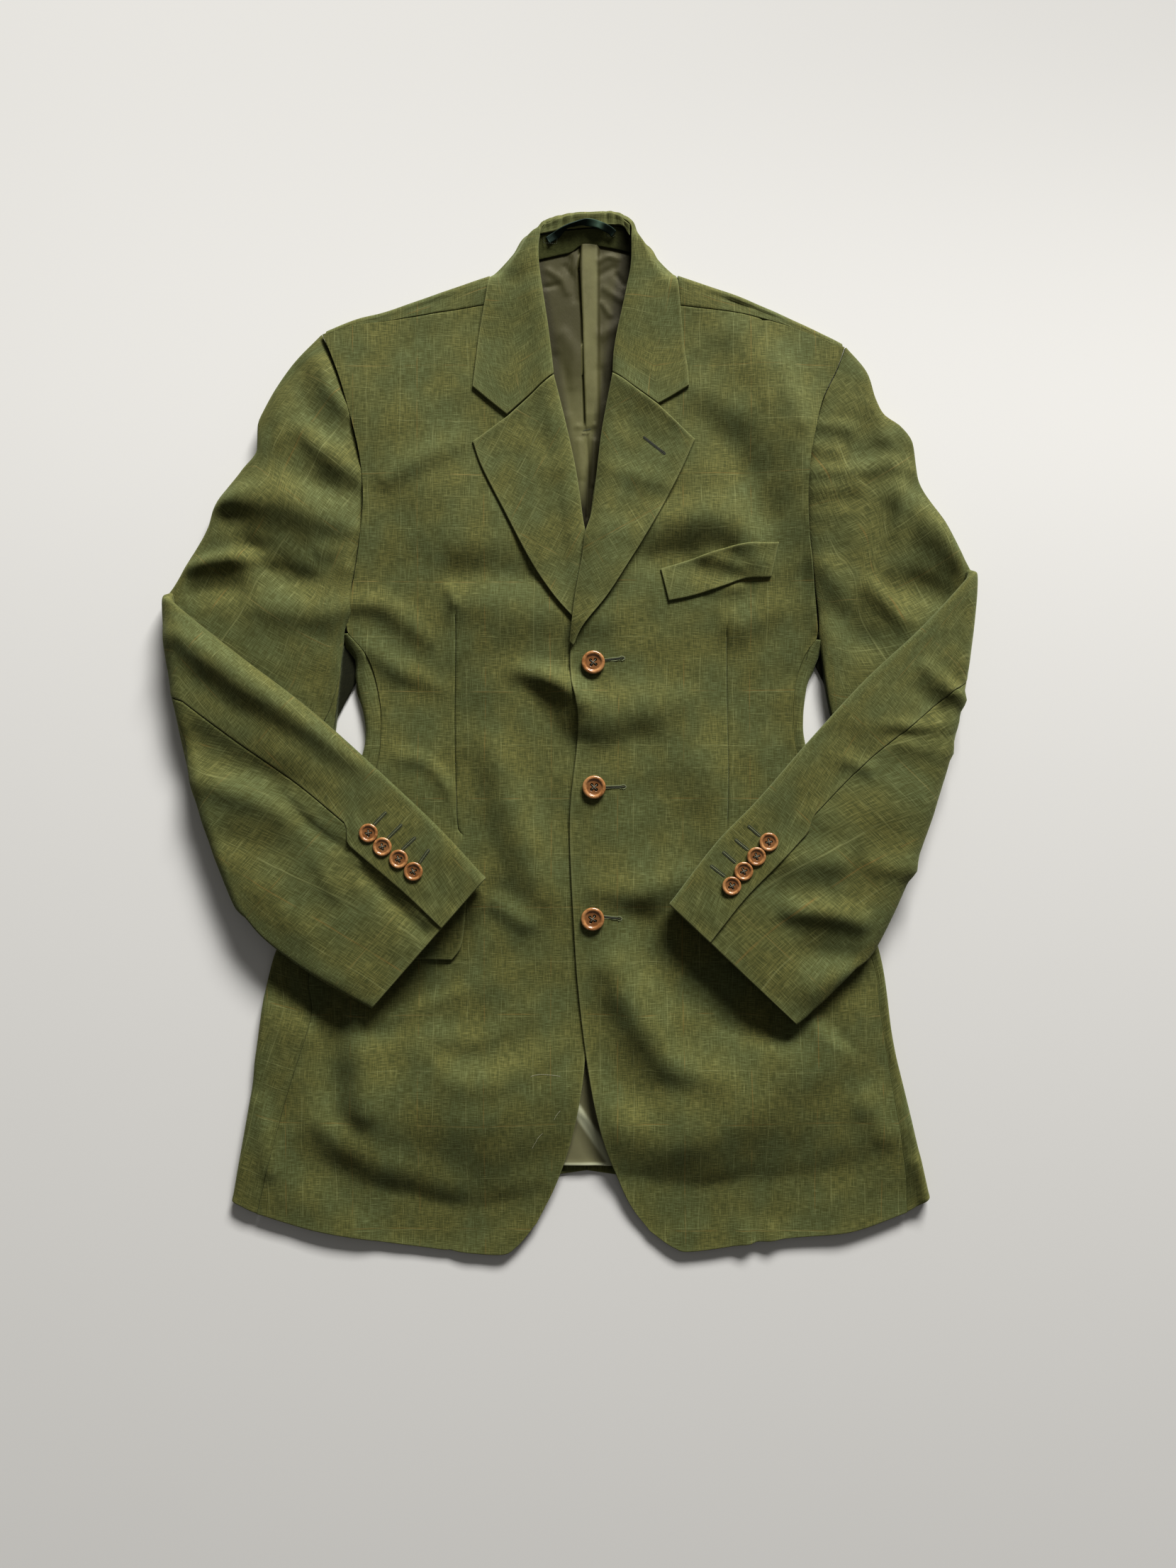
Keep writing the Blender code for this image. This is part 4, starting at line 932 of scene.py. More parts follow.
def side_panel(side_name, half):
    lines = [through(half[name]) for name in ("front_side", "edge", "back_side")]
    rows = spread(reach_along(lines[0])[-1])
    rows = rows + (1 - rows) * PANEL_CLEAR / reach_along(lines[0])[-1]
    top, edge, under = (along(line, rows) for line in lines)
    width = np.linalg.norm(edge - top, axis=1)
    out, inward = unit(edge - top), unit(under - edge)
    reach = np.minimum(SIDE_FOLD, width * FOLD_SHARE)
    start = top + out * SEAM_GAP / 2
    stop = under - inward * SEAM_GAP / 2
    shoulder = edge - out * reach[:, None]
    u = even(TOP_COLUMNS)[None, :-1, None]
    flat_top = start[:, None] * (1 - u) + shoulder[:, None] * u
    height = lower_z(flat_top[..., 0], flat_top[..., 1])
    height = height - SEAM_SINK * bell(steps_of(flat_top, 1), SINK_WIDTH)
    flat_top = np.dstack((flat_top, height))
    flare = UNDERARM[side_name][0] * ramp(edge[:, 1], UNDERARM[side_name][1])
    round_part = fold_round(edge, out, inward, reach, lower_z(shoulder[:, 0], shoulder[:, 1]), flare)
    foot = edge + inward * (reach - flare)[:, None]
    w = even(UNDER_COLUMNS)[None, 1:, None]
    under_part = foot[:, None] * (1 - w) + stop[:, None] * w
    under_part = np.dstack((under_part, np.full(under_part.shape[:2], BACK_Z)))
    grid = np.hstack((flat_top, round_part, under_part))
    across = steps_of(grid, 1)
    flat = np.dstack((across, np.broadcast_to(top[:, 1:2], across.shape)))
    return cut_piece("side_" + side_name, [grid], [flat], turned=["high"])


side_panel("right", RIGHT)
side_panel("left", LEFT)

# %% Backs
BACK_HEM = [(0, -357), (105, -372)]
BACK_LENGTH = 740.0  # about, for the number of rows
BACK_STEPS = (5, 6)  # grid lines across and down the flat back
SHOULDER_COLUMNS, STRIP_ROWS = 45, 9
STRIP_START = 371.0  # y in the cut where the strip over the shoulder starts
UNDERARM_CLEAR = 12.0  # the back's arm edge, above the side panel's end


def back(side_name, half):
    under_y = half["back_side"][0][1] + UNDERARM_CLEAR
    arm = through([p for p in half["armhole"] if p[1] > under_y] + [half["back_side"][0]])
    outer = np.vstack((through(half["back_side"])[::-1], arm[::-1][1:]))
    hem = through([(CENTRE_X + half["side"] * x, y) for x, y in BACK_HEM] + [half["back_side"][-1]])
    count = even(SHOULDER_COLUMNS)
    fold, seam = (along(through(half[line]), count) for line in ("shoulder_fold", "shoulder_seam"))
    out = unit(fold - seam)
    reach = np.minimum(SIDE_FOLD, np.linalg.norm(fold - seam, axis=1) * FOLD_SHARE)
    feet = fold - out * reach[:, None]
    neck = through(half["back_neck"])
    top = np.vstack((neck[:-1], feet))
    inner = np.array([hem[0], neck[0]])
    outer[-1] = feet[-1]
    steps = spread(np.ptp(hem[:, 0]), BACK_STEPS[0]), spread(BACK_LENGTH, BACK_STEPS[1])
    flat_plan = filled(hem, top, inner, outer, *steps)
    flat = with_height(flat_plan, lambda x, y: np.full_like(x, BACK_Z))
    high = lower_z(seam[:, 0], seam[:, 1])
    turned = fold_round(fold, out, -out, reach, high)[:, ::-1]
    w = even(STRIP_ROWS)[None, 1:, None]
    strip = (fold - out * reach[:, None])[:, None] * (1 - w) + (seam + out * SEAM_GAP)[:, None] * w
    strip = np.dstack((strip, lower_z(strip[..., 0], strip[..., 1])))
    over = np.hstack((turned, strip)).transpose(1, 0, 2)
    strip_flat = np.dstack((over[..., 0], STRIP_START + steps_of(over, 0)))
    return cut_piece("back_" + side_name, [flat, over], [flat_plan, strip_flat],
                     turned=["low", ""])


back("right", RIGHT)
back("left", LEFT)

# %% [markdown]
# ## Lapels
# A lapel is the front's own top, folded over along the roll line. It lies on the front but is
# not pressed flat: the roll stands up a little and bulges, and the edge lies down. The grain is
# turned, because the lapel's face is cut along its outer edge.

# %% Lapels
LAPELS = dict(
    right=dict(foot=[(13, 104), (4, 92)],
               top=[(-15, 292.6), (-53, 258.4), (-81, 238)],
               roll=[(13, 104), (12.5, 140), (11, 164), (9, 175), (3, 216), (-6, 257), (-15, 292.6)],
               outer=[(4, 92), (-15, 113), (-35, 143), (-53, 177), (-73, 216), (-81, 238)],
               layers=1.0, grain=-28),
    left=dict(foot=[(-2, 75), (1, 72)],
              top=[(33, 293.6), (70, 267.4), (100, 240)],
              roll=[(-2, 75), (2, 110), (8, 143), (11, 164), (17, 186), (24, 246), (33, 293.6)],
              outer=[(1, 72), (9, 88), (29, 113), (47, 141), (68, 175), (87, 211), (100, 240)],
              layers=1.2, grain=30),
)
LAPEL_FOLDS = [
    [(-42, 252, 12, -0.8), (-21, 228, 12, -0.8)],
    [(-36, 237, 12, 1.4), (-18, 217, 12, 1.4)],
    [(32, 292, 9, 1.6), (57, 277, 9, 2.6), (85, 257, 8, 1.8)],
    [(42, 256, 9, -0.9), (74, 235, 9, -0.9)],
    [(28, 216, 10, 1.6), (54, 209, 10, 2), (85, 200, 8, 1.2)],
    [(36, 179, 10, -0.7), (57, 174, 10, -0.7)],
    [(-39, 205, 16, 1), (-21, 171, 16, 1.4)],
]


LAPEL_STEP = 2.4
FOLD_DIP, ROLL_SWELL = (1.3, 0, 2.4), (1.9, 11, 9)  # depth, place from the roll and width
EDGE_DIP = (0.35, (0.75, 1.0))  # depth, and the share of the width it takes
FOOT_LIFT = (1.3, (0.4, 1.0), 190, 50)  # height, share of the width, y it ends at and ease
FULL_WIDTH = (8, 40)  # a narrower lapel has less of all this


def turned_plan(plan, degrees):
    """The same plan in a cut whose grain runs at this angle from the blazer's length."""
    turn = math.radians(degrees)
    x, y = plan[..., 0], plan[..., 1]
    c, s = math.cos(turn), math.sin(turn)
    return np.dstack((x * c + y * s, y * c - x * s))


def humps(across, *shapes):
    return [depth * bell(across - place, width) for depth, place, width in shapes]


def lapel(side_name, height):
    shape = LAPELS[side_name]
    notch = np.array(shape["top"], float)
    gorge, tip = np.linalg.norm(np.diff(notch, axis=0), axis=1)
    kink = gorge / (gorge + tip)
    u = np.concatenate((spread(gorge, LAPEL_STEP) * kink, kink + spread(tip, LAPEL_STEP)[1:] * (1 - kink)))
    roll, outer = through(shape["roll"]), through(shape["outer"])
    v = spread(reach_along(outer)[-1], LAPEL_STEP)
    plan = filled(np.array(shape["foot"], float), notch, roll, outer, u, v)
    across = steps_of(plan, 1)
    width = across[:, -1:]
    full = ramp(width, FULL_WIDTH)
    grid = with_height(plan, lambda x, y: height(x, y) + relief(LAPEL_FOLDS, x, y))
    dip, swell = humps(across, FOLD_DIP, ROLL_SWELL)
    grid[..., 2] += LAYER * shape["layers"] - dip + swell * full
    grid[..., 2] -= EDGE_DIP[0] * ramp(across / width, EDGE_DIP[1]) * full
    lift, share, end, ease = FOOT_LIFT
    grid[..., 2] += lift * ramp(across / width, share) * ramp(end - plan[..., 1], (0, ease)) * full
    return cut_piece("lapel_" + side_name, [grid], [turned_plan(plan, shape["grain"])],
                     turned=["start end high"])


lapel("right", lower_z)
lapel("left", upper_z)

# %% [markdown]
# ## Collar
# The collar goes round the neck: at the sides it lies over the lapels and shoulders, behind the
# neck it turns right over and runs underneath. One table gives a line across it at each of 21
# places, and a smooth curve joins the same point of each line. Its two ends keep a sharp notch.

# %% Collar
COLLAR = [
    # roll x, y, bend x, y, outer x, y, height that the outer edge drops to (0 stays, -1 turns under)
    (-15, 293.6, -53, 259.6, -81, 282, 0),
    (-17, 312, -50, 289, -79, 299, 0),
    (-20, 336, -49, 321, -76, 325, 0),
    (-24, 362, -48, 352, -71, 353, 0),
    (-26, 376, -48, 369, -68, 369, 0),
    (-27, 386, -46, 381, -63, 377, 1.4),
    (-27, 399, -38, 396, -49, 392, 1.4),
    (-25, 409, -30, 409, -36, 408, 1.4),
    (-20, 415, -14, 405, -8, 396, -1),
    (-1, 420, -1, 410, 0, 400, -1),
    (17, 421, 17, 411, 16, 401, -1),
    (35, 421, 34, 411, 33, 401, -1),
    (47, 414, 41, 405, 35, 397, -1),
    (48, 403, 55, 402, 61, 400, 1.4),
    (48, 388, 60, 389, 71, 388, 1.4),
    (47, 377, 64, 378, 82, 377, 1.4),
    (45, 367, 66, 367, 86, 369, 0),
    (42, 352, 66, 349, 88, 351, 0),
    (37, 330, 66, 319, 91, 318, 0),
    (34, 312, 67, 291, 94, 299, 0),
    (33, 294.6, 70, 268.6, 95, 283, 0),
]
DROP_START = 0.55
ROLL_RISE = 2.6
ROLL_START = (295.0, 350.0)
NECK_ROLL_Z = 10.4
NECK_ROLL_REACH = 4.0
COLLAR_DIP, COLLAR_SWELL = (1.6, 0, 2.0), (1.2, 10, 8)  # depth, place from the roll and width
CROWDED = 1.3  # power that draws the points towards both edges
COLUMNS_UNDER, COLUMNS_OVER = (28, 12), (22, 18)  # of a line that turns under, and that lies over
GATHER_DEPTH, GATHER_WIDTH = 0.7, 1.5
GATHERS = [(-21.3, -1.2), (-16.7, -1.0), (-12.4, 0.5), (-8, -1.2), (-3.5, 0.5), (0.6, -1.0), (8, 0.3),
           (14, -0.4), (20, 0.3), (27.7, -1.1), (31, 0.6), (34.6, -1.2), (38.5, 0.6), (42.1, -1.2)]
COLLAR_FOLDS = [
    [(-68, 369, 9, -0.8), (-24, 367, 9, -0.8)],
    [(-70, 352, 8, 0.6), (-21, 350, 8, 0.6)],
    [(-73, 332, 12, -0.7), (-21, 321, 12, -0.7)],
    [(51, 373, 10, -0.6), (83, 367, 10, -0.7)],
    [(48, 344, 10, 0.5), (88, 335, 10, 0.5)],
    [(45, 309, 12, -0.5), (88, 315, 12, -0.6)],
]


def collar_line(row):
    """One line across the collar, from its roll edge to its outer edge, as 40 points."""
    roll, bend, outer = (np.array(row[i:i + 2], float) for i in (0, 2, 4))
    drop_to = row[6]
    if drop_to < 0:
        inward = unit(outer - roll)
        turn = np.radians(np.linspace(0, 180, COLUMNS_UNDER[0]))
        mid, rise = (NECK_ROLL_Z + BACK_Z) / 2, (NECK_ROLL_Z - BACK_Z) / 2
        plan = roll - inward * (NECK_ROLL_REACH * np.sin(turn))[:, None]
        nose = np.column_stack((plan, mid + rise * np.cos(turn)))
        flat = even(COLUMNS_UNDER[1] + 1)[1:, None]
        rest = np.column_stack((roll * (1 - flat) + outer * flat, np.full(COLUMNS_UNDER[1], BACK_Z)))
        return np.vstack((nose, rest))
    first, second = np.linalg.norm(bend - roll), np.linalg.norm(outer - bend)
    u = even(COLUMNS_OVER[0]) ** CROWDED
    w = 1 - np.linspace(1, 0, COLUMNS_OVER[1] + 1)[1:] ** CROWDED
    plan = np.vstack((roll + (bend - roll) * u[:, None], bend + (outer - bend) * w[:, None]))
    away = np.concatenate((u * first, first + w * second))
    f = away / (first + second)
    x, y = plan.T
    top = lower_z(x, y) + LAYER + ROLL_RISE * ramp(y, ROLL_START) * (1 - f) ** 2
    dip, swell = humps(away, COLLAR_DIP, COLLAR_SWELL)
    top = top - dip + swell + relief(COLLAR_FOLDS, x, y)
    if drop_to:
        top = top + (drop_to - top) * ramp(f, (DROP_START, 1))
    return np.column_stack((plan, top))


def collar():
    lines = np.stack([collar_line(row) for row in COLLAR])
    columns = lines.shape[1]
    grid = through(lines.reshape(len(lines), -1), 9).reshape(-1, columns, 3)
    on_roll = ramp(grid[..., 1], (410, 416)) * ramp(grid[..., 2], (4, 8))
    for x, height in GATHERS:
        grid[..., 2] += GATHER_DEPTH * height * bell(grid[..., 0] - x, GATHER_WIDTH) * on_roll
    round_neck = reach_along(grid[:, columns // 2])[:, None]
    flat = np.dstack((np.broadcast_to(round_neck, grid.shape[:2]), steps_of(grid, 1)))
    return cut_piece("collar", [grid], [flat], turned=["low high start end"])


collar()

# %% [markdown]
# ## Inside the neck
# Below the roll shows the collar's stand, eased in with little gathers; then a facing with the
# hanger loop sewn across it; then the lining with a box pleat down its middle. The gathers are
# ridges at listed places, since a tailor's easing is never even.

# %% Stand, facing and loop
STAND_TOP = [(-22, 414.5), (-1, 421.6), (17, 422.8), (35, 422.6), (46.8, 413.8)]
STAND_FOOT = [(-27, 406.5), (-3, 410.5), (20, 412.5), (40, 413.5), (47, 405)]
FACING_TOP = [(-28, 405.9), (-3, 410.1), (20, 412.1), (39, 413), (47, 404.4)]
FACING_FOOT = [(-31, 387), (-13, 391), (-1, 394), (9, 400), (28, 398), (50, 393)]
STAND_Z = (11.0, 9.4)
FACING_Z = (8.2, 3.8)
LOOP_PATH = [(-20, 402), (-13, 406), (-5, 411), (3, 413.5), (12, 415), (21, 413.5), (30, 410), (34, 407)]
LOOP_Z = [8.0, 8.8, 10.6, 11.6, 11.8, 11.4, 9.8, 8.4]
LOOP_FLAT = [1.0, 0.9, 0.35, 0.35, 0.8, 1.0, 0.9, 1.0]  # share of its width seen from above
LOOP_WIDTH = 6.0
BAND_COLUMNS, STAND_ROWS, FACING_ROWS = 90, 12, 18
EASE_DEPTH, EASE_WIDTH, EASE_SLANT, EASE_FADE = 0.75, 1.7, 0.8, 0.7  # of the gathers in a band
FACING_GATHERS = [(-6, 0.5), (6, -0.5), (24, 0.4)]


def neck_band(name, top, foot, heights, thickness, rows, gathers, finish):
    columns = even(BAND_COLUMNS)
    upper, lower = along(through(top), columns), along(through(foot), columns)
    t = even(rows)[:, None]
    plan = upper[None] * (1 - t[..., None]) + lower[None] * t[..., None]
    z = heights[0] + (heights[1] - heights[0]) * t + np.zeros(plan.shape[:2])
    for x, height in gathers:
        gather = bell(plan[..., 0] - x - t * EASE_SLANT, EASE_WIDTH)
        z += EASE_DEPTH * height * gather * (1 - EASE_FADE * t)
    across = np.broadcast_to(reach_along(upper)[None], z.shape)
    depth = np.linalg.norm(upper - lower, axis=1)[None] * t
    return cut_piece(name, [np.dstack((plan, z))], [np.dstack((across, -depth))], finish,
                     thickness, turned=["low high"])


def hanger_loop():
    path = through([(*p, z, flat) for p, z, flat in zip(LOOP_PATH, LOOP_Z, LOOP_FLAT)], 10)
    ahead = np.gradient(path[:, :2], axis=0)
    across = unit(np.column_stack((-ahead[:, 1], ahead[:, 0])))
    off = np.linspace(-1, 1, 9) * LOOP_WIDTH / 2
    seen = np.clip(path[:, 3], 0.3, 1.0)
    plan = path[:, None, :2] + across[:, None] * off[None, :, None] * seen[:, None, None]
    z = path[:, None, 2] + off[None] * np.sqrt(1 - seen ** 2)[:, None]
    flat = np.dstack((np.broadcast_to(off[None], z.shape),
                      np.broadcast_to(reach_along(path)[:, None], z.shape)))
    return cut_piece("hanger_loop", [np.dstack((plan, z))], [flat], SATIN_FINISH, THIN,
                     turned=["start end low high"])


neck_band("collar_stand", STAND_TOP, STAND_FOOT, STAND_Z, CLOTH, STAND_ROWS, GATHERS,
          CLOTH_FINISH)
neck_band("neck_facing", FACING_TOP, FACING_FOOT, FACING_Z, THIN, FACING_ROWS, FACING_GATHERS,
          FELT_FINISH)
hanger_loop()

# %% [markdown]
# ## Back lining
# Only the strip along the centre shows: through the neck, where its pleat stands open, and at
# the hem between the fronts. The pleat's left edge is a crisp step and its right side slopes
# away. Short sharp creases lie beside it, as a slippery lining has.

# %% Lining
LINING = [
    # y, left edge x, pleat left x, pleat right x, right edge x, whether the pleat stands open
    (-352, -30, 8, 22, 58, 0),
    (-180, -30, 9, 21, 56, 0),
    (0, -28, 10, 20, 54, 0),
    (180, -28, 11, 20, 52, 0),
    (248, -28, 11.5, 19.5, 52, 0),
    (262, -28, 11, 19.8, 52, 1),
    (300, -29, 9.7, 20, 52, 1),
    (340, -30, 8.8, 20, 52, 1),
    (376, -31, 6.4, 20, 52, 1),
    (392, -32, 7.6, 19.8, 51, 1),
]
LINING_CLEAR = -1.5  # it goes on under the facing
LINING_FOLDS = [
    [(-1, 395, 2, 0.7), (3, 387, 2.2, 0.9), (-1, 376, 2, 0.5)],
    [(-6, 383, 1.6, -0.8), (1, 372, 2, -0.9), (3, 355, 2, -0.6)],
    [(-20, 380, 2.2, 0.6), (-9, 372, 2.4, 0.8), (-4, 361, 2, 0.5)],
    [(-21, 366, 2, -0.8), (-12, 368, 2, -0.6)],
    [(22, 387, 2, 0.8), (29, 391, 2, 0.8), (38, 389, 2, 0.5)],
    [(23, 376, 2.4, -0.8), (34, 382, 2.4, -0.9)],
    [(24, 353, 1.8, 0.9), (31, 343, 1.8, 0.8)],
    [(36, 376, 2, -0.8), (42, 368, 2, -0.8)],
    [(26, 365, 2.6, 0.7), (41, 355, 2.6, 0.7)],
    [(24, 327, 5, 0.7), (40, 335, 5, 0.7)],
    [(-7, 327, 6, 0.7), (3, 309, 6, 0.8), (-1, 286, 5, 0.6)],
    [(-12, 309, 4, -0.7), (-4, 286, 5, -0.8), (-2, 266, 4, -0.5)],
    [(23, 298, 4, -0.6), (28, 275, 4, -0.6)],
    [(5, 252, 1.8, 0.9), (12, 248, 1.4, -0.9), (18, 253, 1.6, 0.9)],
    [(12, 245, 1.1, -0.9), (13, 217, 1.1, -0.9), (12, 177, 1.1, -0.8)],
    [(6, 240, 2.2, 0.8), (8, 211, 2.2, 0.7)],
    [(18, 240, 2.2, 0.7), (17, 205, 2.2, 0.6)],
    [(4, -306, 3, 0.8), (13, -314, 3.4, 1.4), (23, -331, 3.6, 1.5), (29, -350, 3, 1)],
    [(1, -320, 5, -0.6), (11, -337, 6, -0.7), (18, -349, 5, -0.5)],
    [(25, -317, 4, -0.6), (32, -337, 4, -0.6)],
    [(-4, -351, 2.2, 0.7), (14, -352, 2.2, 0.8), (32, -353, 2.2, 0.7)],
]
PLEAT_EDGE = 0.5  # half of the width in which the pleat's left edge rises
PLEAT_SLOPE = 3.5  # width in which its right side comes down
PLEAT_RISE = 1.5  # how far the open pleat stands
LINING_LIFT = 0.4  # the lining lies loosely
HEM_RISE = 1.6  # and higher at the hem
HEM_RISE_FROM = (-290, -230)
CREASE_LIMITS = (-0.6, 2.0)  # of the creases' depth and height
LINING_ROWS = [(-352, -225, 2.0), (-225, 150, 25.0), (150, 393, 1.6)]  # y from, to and step
LINING_COLUMNS = [18, 4, 9, 4, 16]  # from each of its lines to the next


def back_lining():
    table = np.array(LINING, float)
    y = np.concatenate([np.arange(*rows) for rows in LINING_ROWS])
    rows = np.stack([np.interp(y, table[:, 0], column) for column in table.T], axis=1)
    _, left, pleat_left, pleat_right, right, stands = rows.T
    stops = np.stack((left, pleat_left - PLEAT_EDGE, pleat_left + PLEAT_EDGE, pleat_right,
                      pleat_right + PLEAT_SLOPE, right))
    places = np.cumsum([0] + LINING_COLUMNS)
    x = np.stack([np.interp(np.arange(places[-1] + 1), places, row) for row in stops.T])
    up = ramp(x - pleat_left[:, None], (-PLEAT_EDGE, PLEAT_EDGE))
    up = up * (1 - ramp(x - pleat_right[:, None], (0, PLEAT_SLOPE)))
    foot = through(FACING_FOOT)
    top_y = np.interp(x, foot[:, 0], foot[:, 1]) - LINING_CLEAR
    plan_y = y[:, None] + (top_y - table[-1, 0]) * ramp(y[:, None], (340, table[-1, 0]))
    folded = np.clip(relief(LINING_FOLDS, x, plan_y), *CREASE_LIMITS)
    lying = LINING_Z + LINING_LIFT + HEM_RISE * (1 - ramp(plan_y, HEM_RISE_FROM))
    grid = np.dstack((x, plan_y, lying + PLEAT_RISE * stands[:, None] * up + folded))
    return cut_piece("back_lining", [grid], [np.dstack((x, plan_y))], LINING_FINISH, THIN,
                     turned=["low"])


back_lining()

# %% [markdown]
# ## Sleeves
# A suit sleeve is two pieces: the top sleeve and the narrower under sleeve. Laid down, they make
# a flattened tube that folds over at the elbow. The table has a ring for each row, and the rows
# between are found with curves that never overshoot. A point on a ring then goes through the
# same formula as in the CAD model, and the folds move it along the cloth's own normal. Some
# rings are added to the CAD model's or stand a little off them, where the real outline bumps.

# %% Sleeve tables
RIGHT_SLEEVE = [
    # outer x, y, inner x, y, share of the armhole's bow, own bow, outer mid, half, inner mid, half, turn
    (-203.8, 325.6, -186, 86.6, 1, 0, 4.2, 3.4, 4.2, 3.4, 0),
    (-228, 298, -187, 72, 0.85, 0, 6.4, 5.6, 5.4, 4.6, 0),
    (-248, 266, -188.6, 57, 0.66, 0, 6.8, 6, 5.7, 4.9, 0),
    (-254.5, 250, -189, 50, 0.58, 0, 7, 6.2, 5.8, 5, 0),
    (-255, 232, -190.4, 36, 0.46, 0, 6.9, 6.1, 5.7, 4.9, 0),
    (-268, 214, -192, 22, 0.36, 0, 6.5, 5.7, 5.5, 4.7, 0),
    (-291, 182, -195, -4, 0.20, 0, 6, 5.2, 5.2, 4.4, 0),
    (-295, 169, -198, -16, 0.14, 0, 5.8, 5, 5.1, 4.3, 0),
    (-311, 141, -214, -60, 0, 0, 5.4, 4.6, 5, 4.2, 0),
    (-327, 115, -260, -138, 0, -11, 5.2, 4.4, 5, 4.2, 0),
    (-328, 114, -266, -138, 0, -11.5, 7.2, 4.5, 7, 4.3, 45),
    (-327.5, 113, -268, -138, 0, -11.5, 11.8, 4.7, 11.7, 4.6, 90),
    (-326, 110, -267, -141, 0, -11.5, 16.4, 4.9, 16.4, 4.9, 135),
    (-322, 106, -262, -147, 0, -10, 18.4, 5.1, 18.4, 5.1, 180),
    (-273, 66, -249, -162, 0, -6, 18.5, 5.3, 18.5, 5.3, 180),
    (-215, 22, -227, -180, 0, -2, 18.5, 5.3, 18.4, 5.2, 180),
    (-149, -37, -202, -197, 0, 0, 18.3, 5.1, 18.3, 5.1, 180),
    (-104, -80, -179, -210, 0, 0, 18.2, 5, 18.2, 5, 180),
    (-70, -117, -160, -220, 0, 0, 18.2, 5, 18.2, 5, 180),
]
LEFT_SLEEVE = [
    (222.9, 315.4, 201.2, 82.8, 1, 0, 4.2, 3.4, 4.2, 3.4, 0),
    (240, 292, 203.8, 66, 0.88, 0, 6.2, 5.4, 5.2, 4.4, 0),
    (246, 272, 205.2, 55, 0.76, 0, 6.8, 6, 5.6, 4.8, 0),
    (252, 260, 206, 48, 0.66, 0, 7, 6.2, 5.8, 5, 0),
    (267, 249, 206.8, 42, 0.58, 0, 7, 6.2, 5.8, 5, 0),
    (276, 236, 207.8, 36, 0.50, 0, 6.9, 6.1, 5.7, 4.9, 0),
    (280, 208, 210, 24, 0.40, 0, 6.8, 6, 5.6, 4.8, 0),
    (303, 172, 216, -2, 0.20, 0, 6, 5.2, 5.2, 4.4, 0),
    (314, 151, 226, -60, 0, -6, 5.4, 4.6, 5, 4.2, 0),
    (320, 140, 240, -115, 0, -12, 5.2, 4.4, 5, 4.2, 0),
    (323.5, 134, 251, -150, 0, -17, 5.2, 4.4, 5, 4.2, 0),
    (324.5, 133, 249, -161, 0, -17, 7.2, 4.5, 9.4, 3.7, 45),
    (324, 132, 243, -172, 0, -17, 11.8, 4.7, 14.2, 3.1, 90),
    (323, 130, 236, -181, 0, -17, 16.4, 4.9, 17, 3.9, 135),
    (319, 125, 228, -188, 0, -16, 18.4, 5.1, 18.4, 4.8, 180),
    (285, 88, 221, -195, 0, -9, 18.5, 5.3, 18.5, 5.3, 180),
    (238, 44, 211, -205, 0, -4, 18.5, 5.3, 18.4, 5.2, 180),
    (190, -8, 201, -215, 0, -2, 18.3, 5.1, 18.3, 5.1, 180),
    (150, -54, 193, -222, 0, 0, 18.2, 5, 18.2, 5, 180),
    (118, -87, 187, -228, 0, 0, 18.2, 5, 18.2, 5, 180),
    (79, -138, 180, -233, 0, 0, 18.2, 5, 18.2, 5, 180),
]
TURN, UPPER_RINGS = 10, 9  # the table's last column, and its rings down to the elbow
BACK_SEAM = dict(right=0.688, left=0.676)  # fraction round the ring
FRONT_SEAM = dict(right=(0, 0, 0.008, 0.015, 0.04, 0.06, 0.09, 0.10, 0.15),
                  left=(0, 0, 0.008, 0.012))
SECTION_POWER = 8
VENT = 92.0  # length of the cuff's lap
VENT_LAP = dict(right=0.024, left=0.014)  # its width, as a fraction of the ring

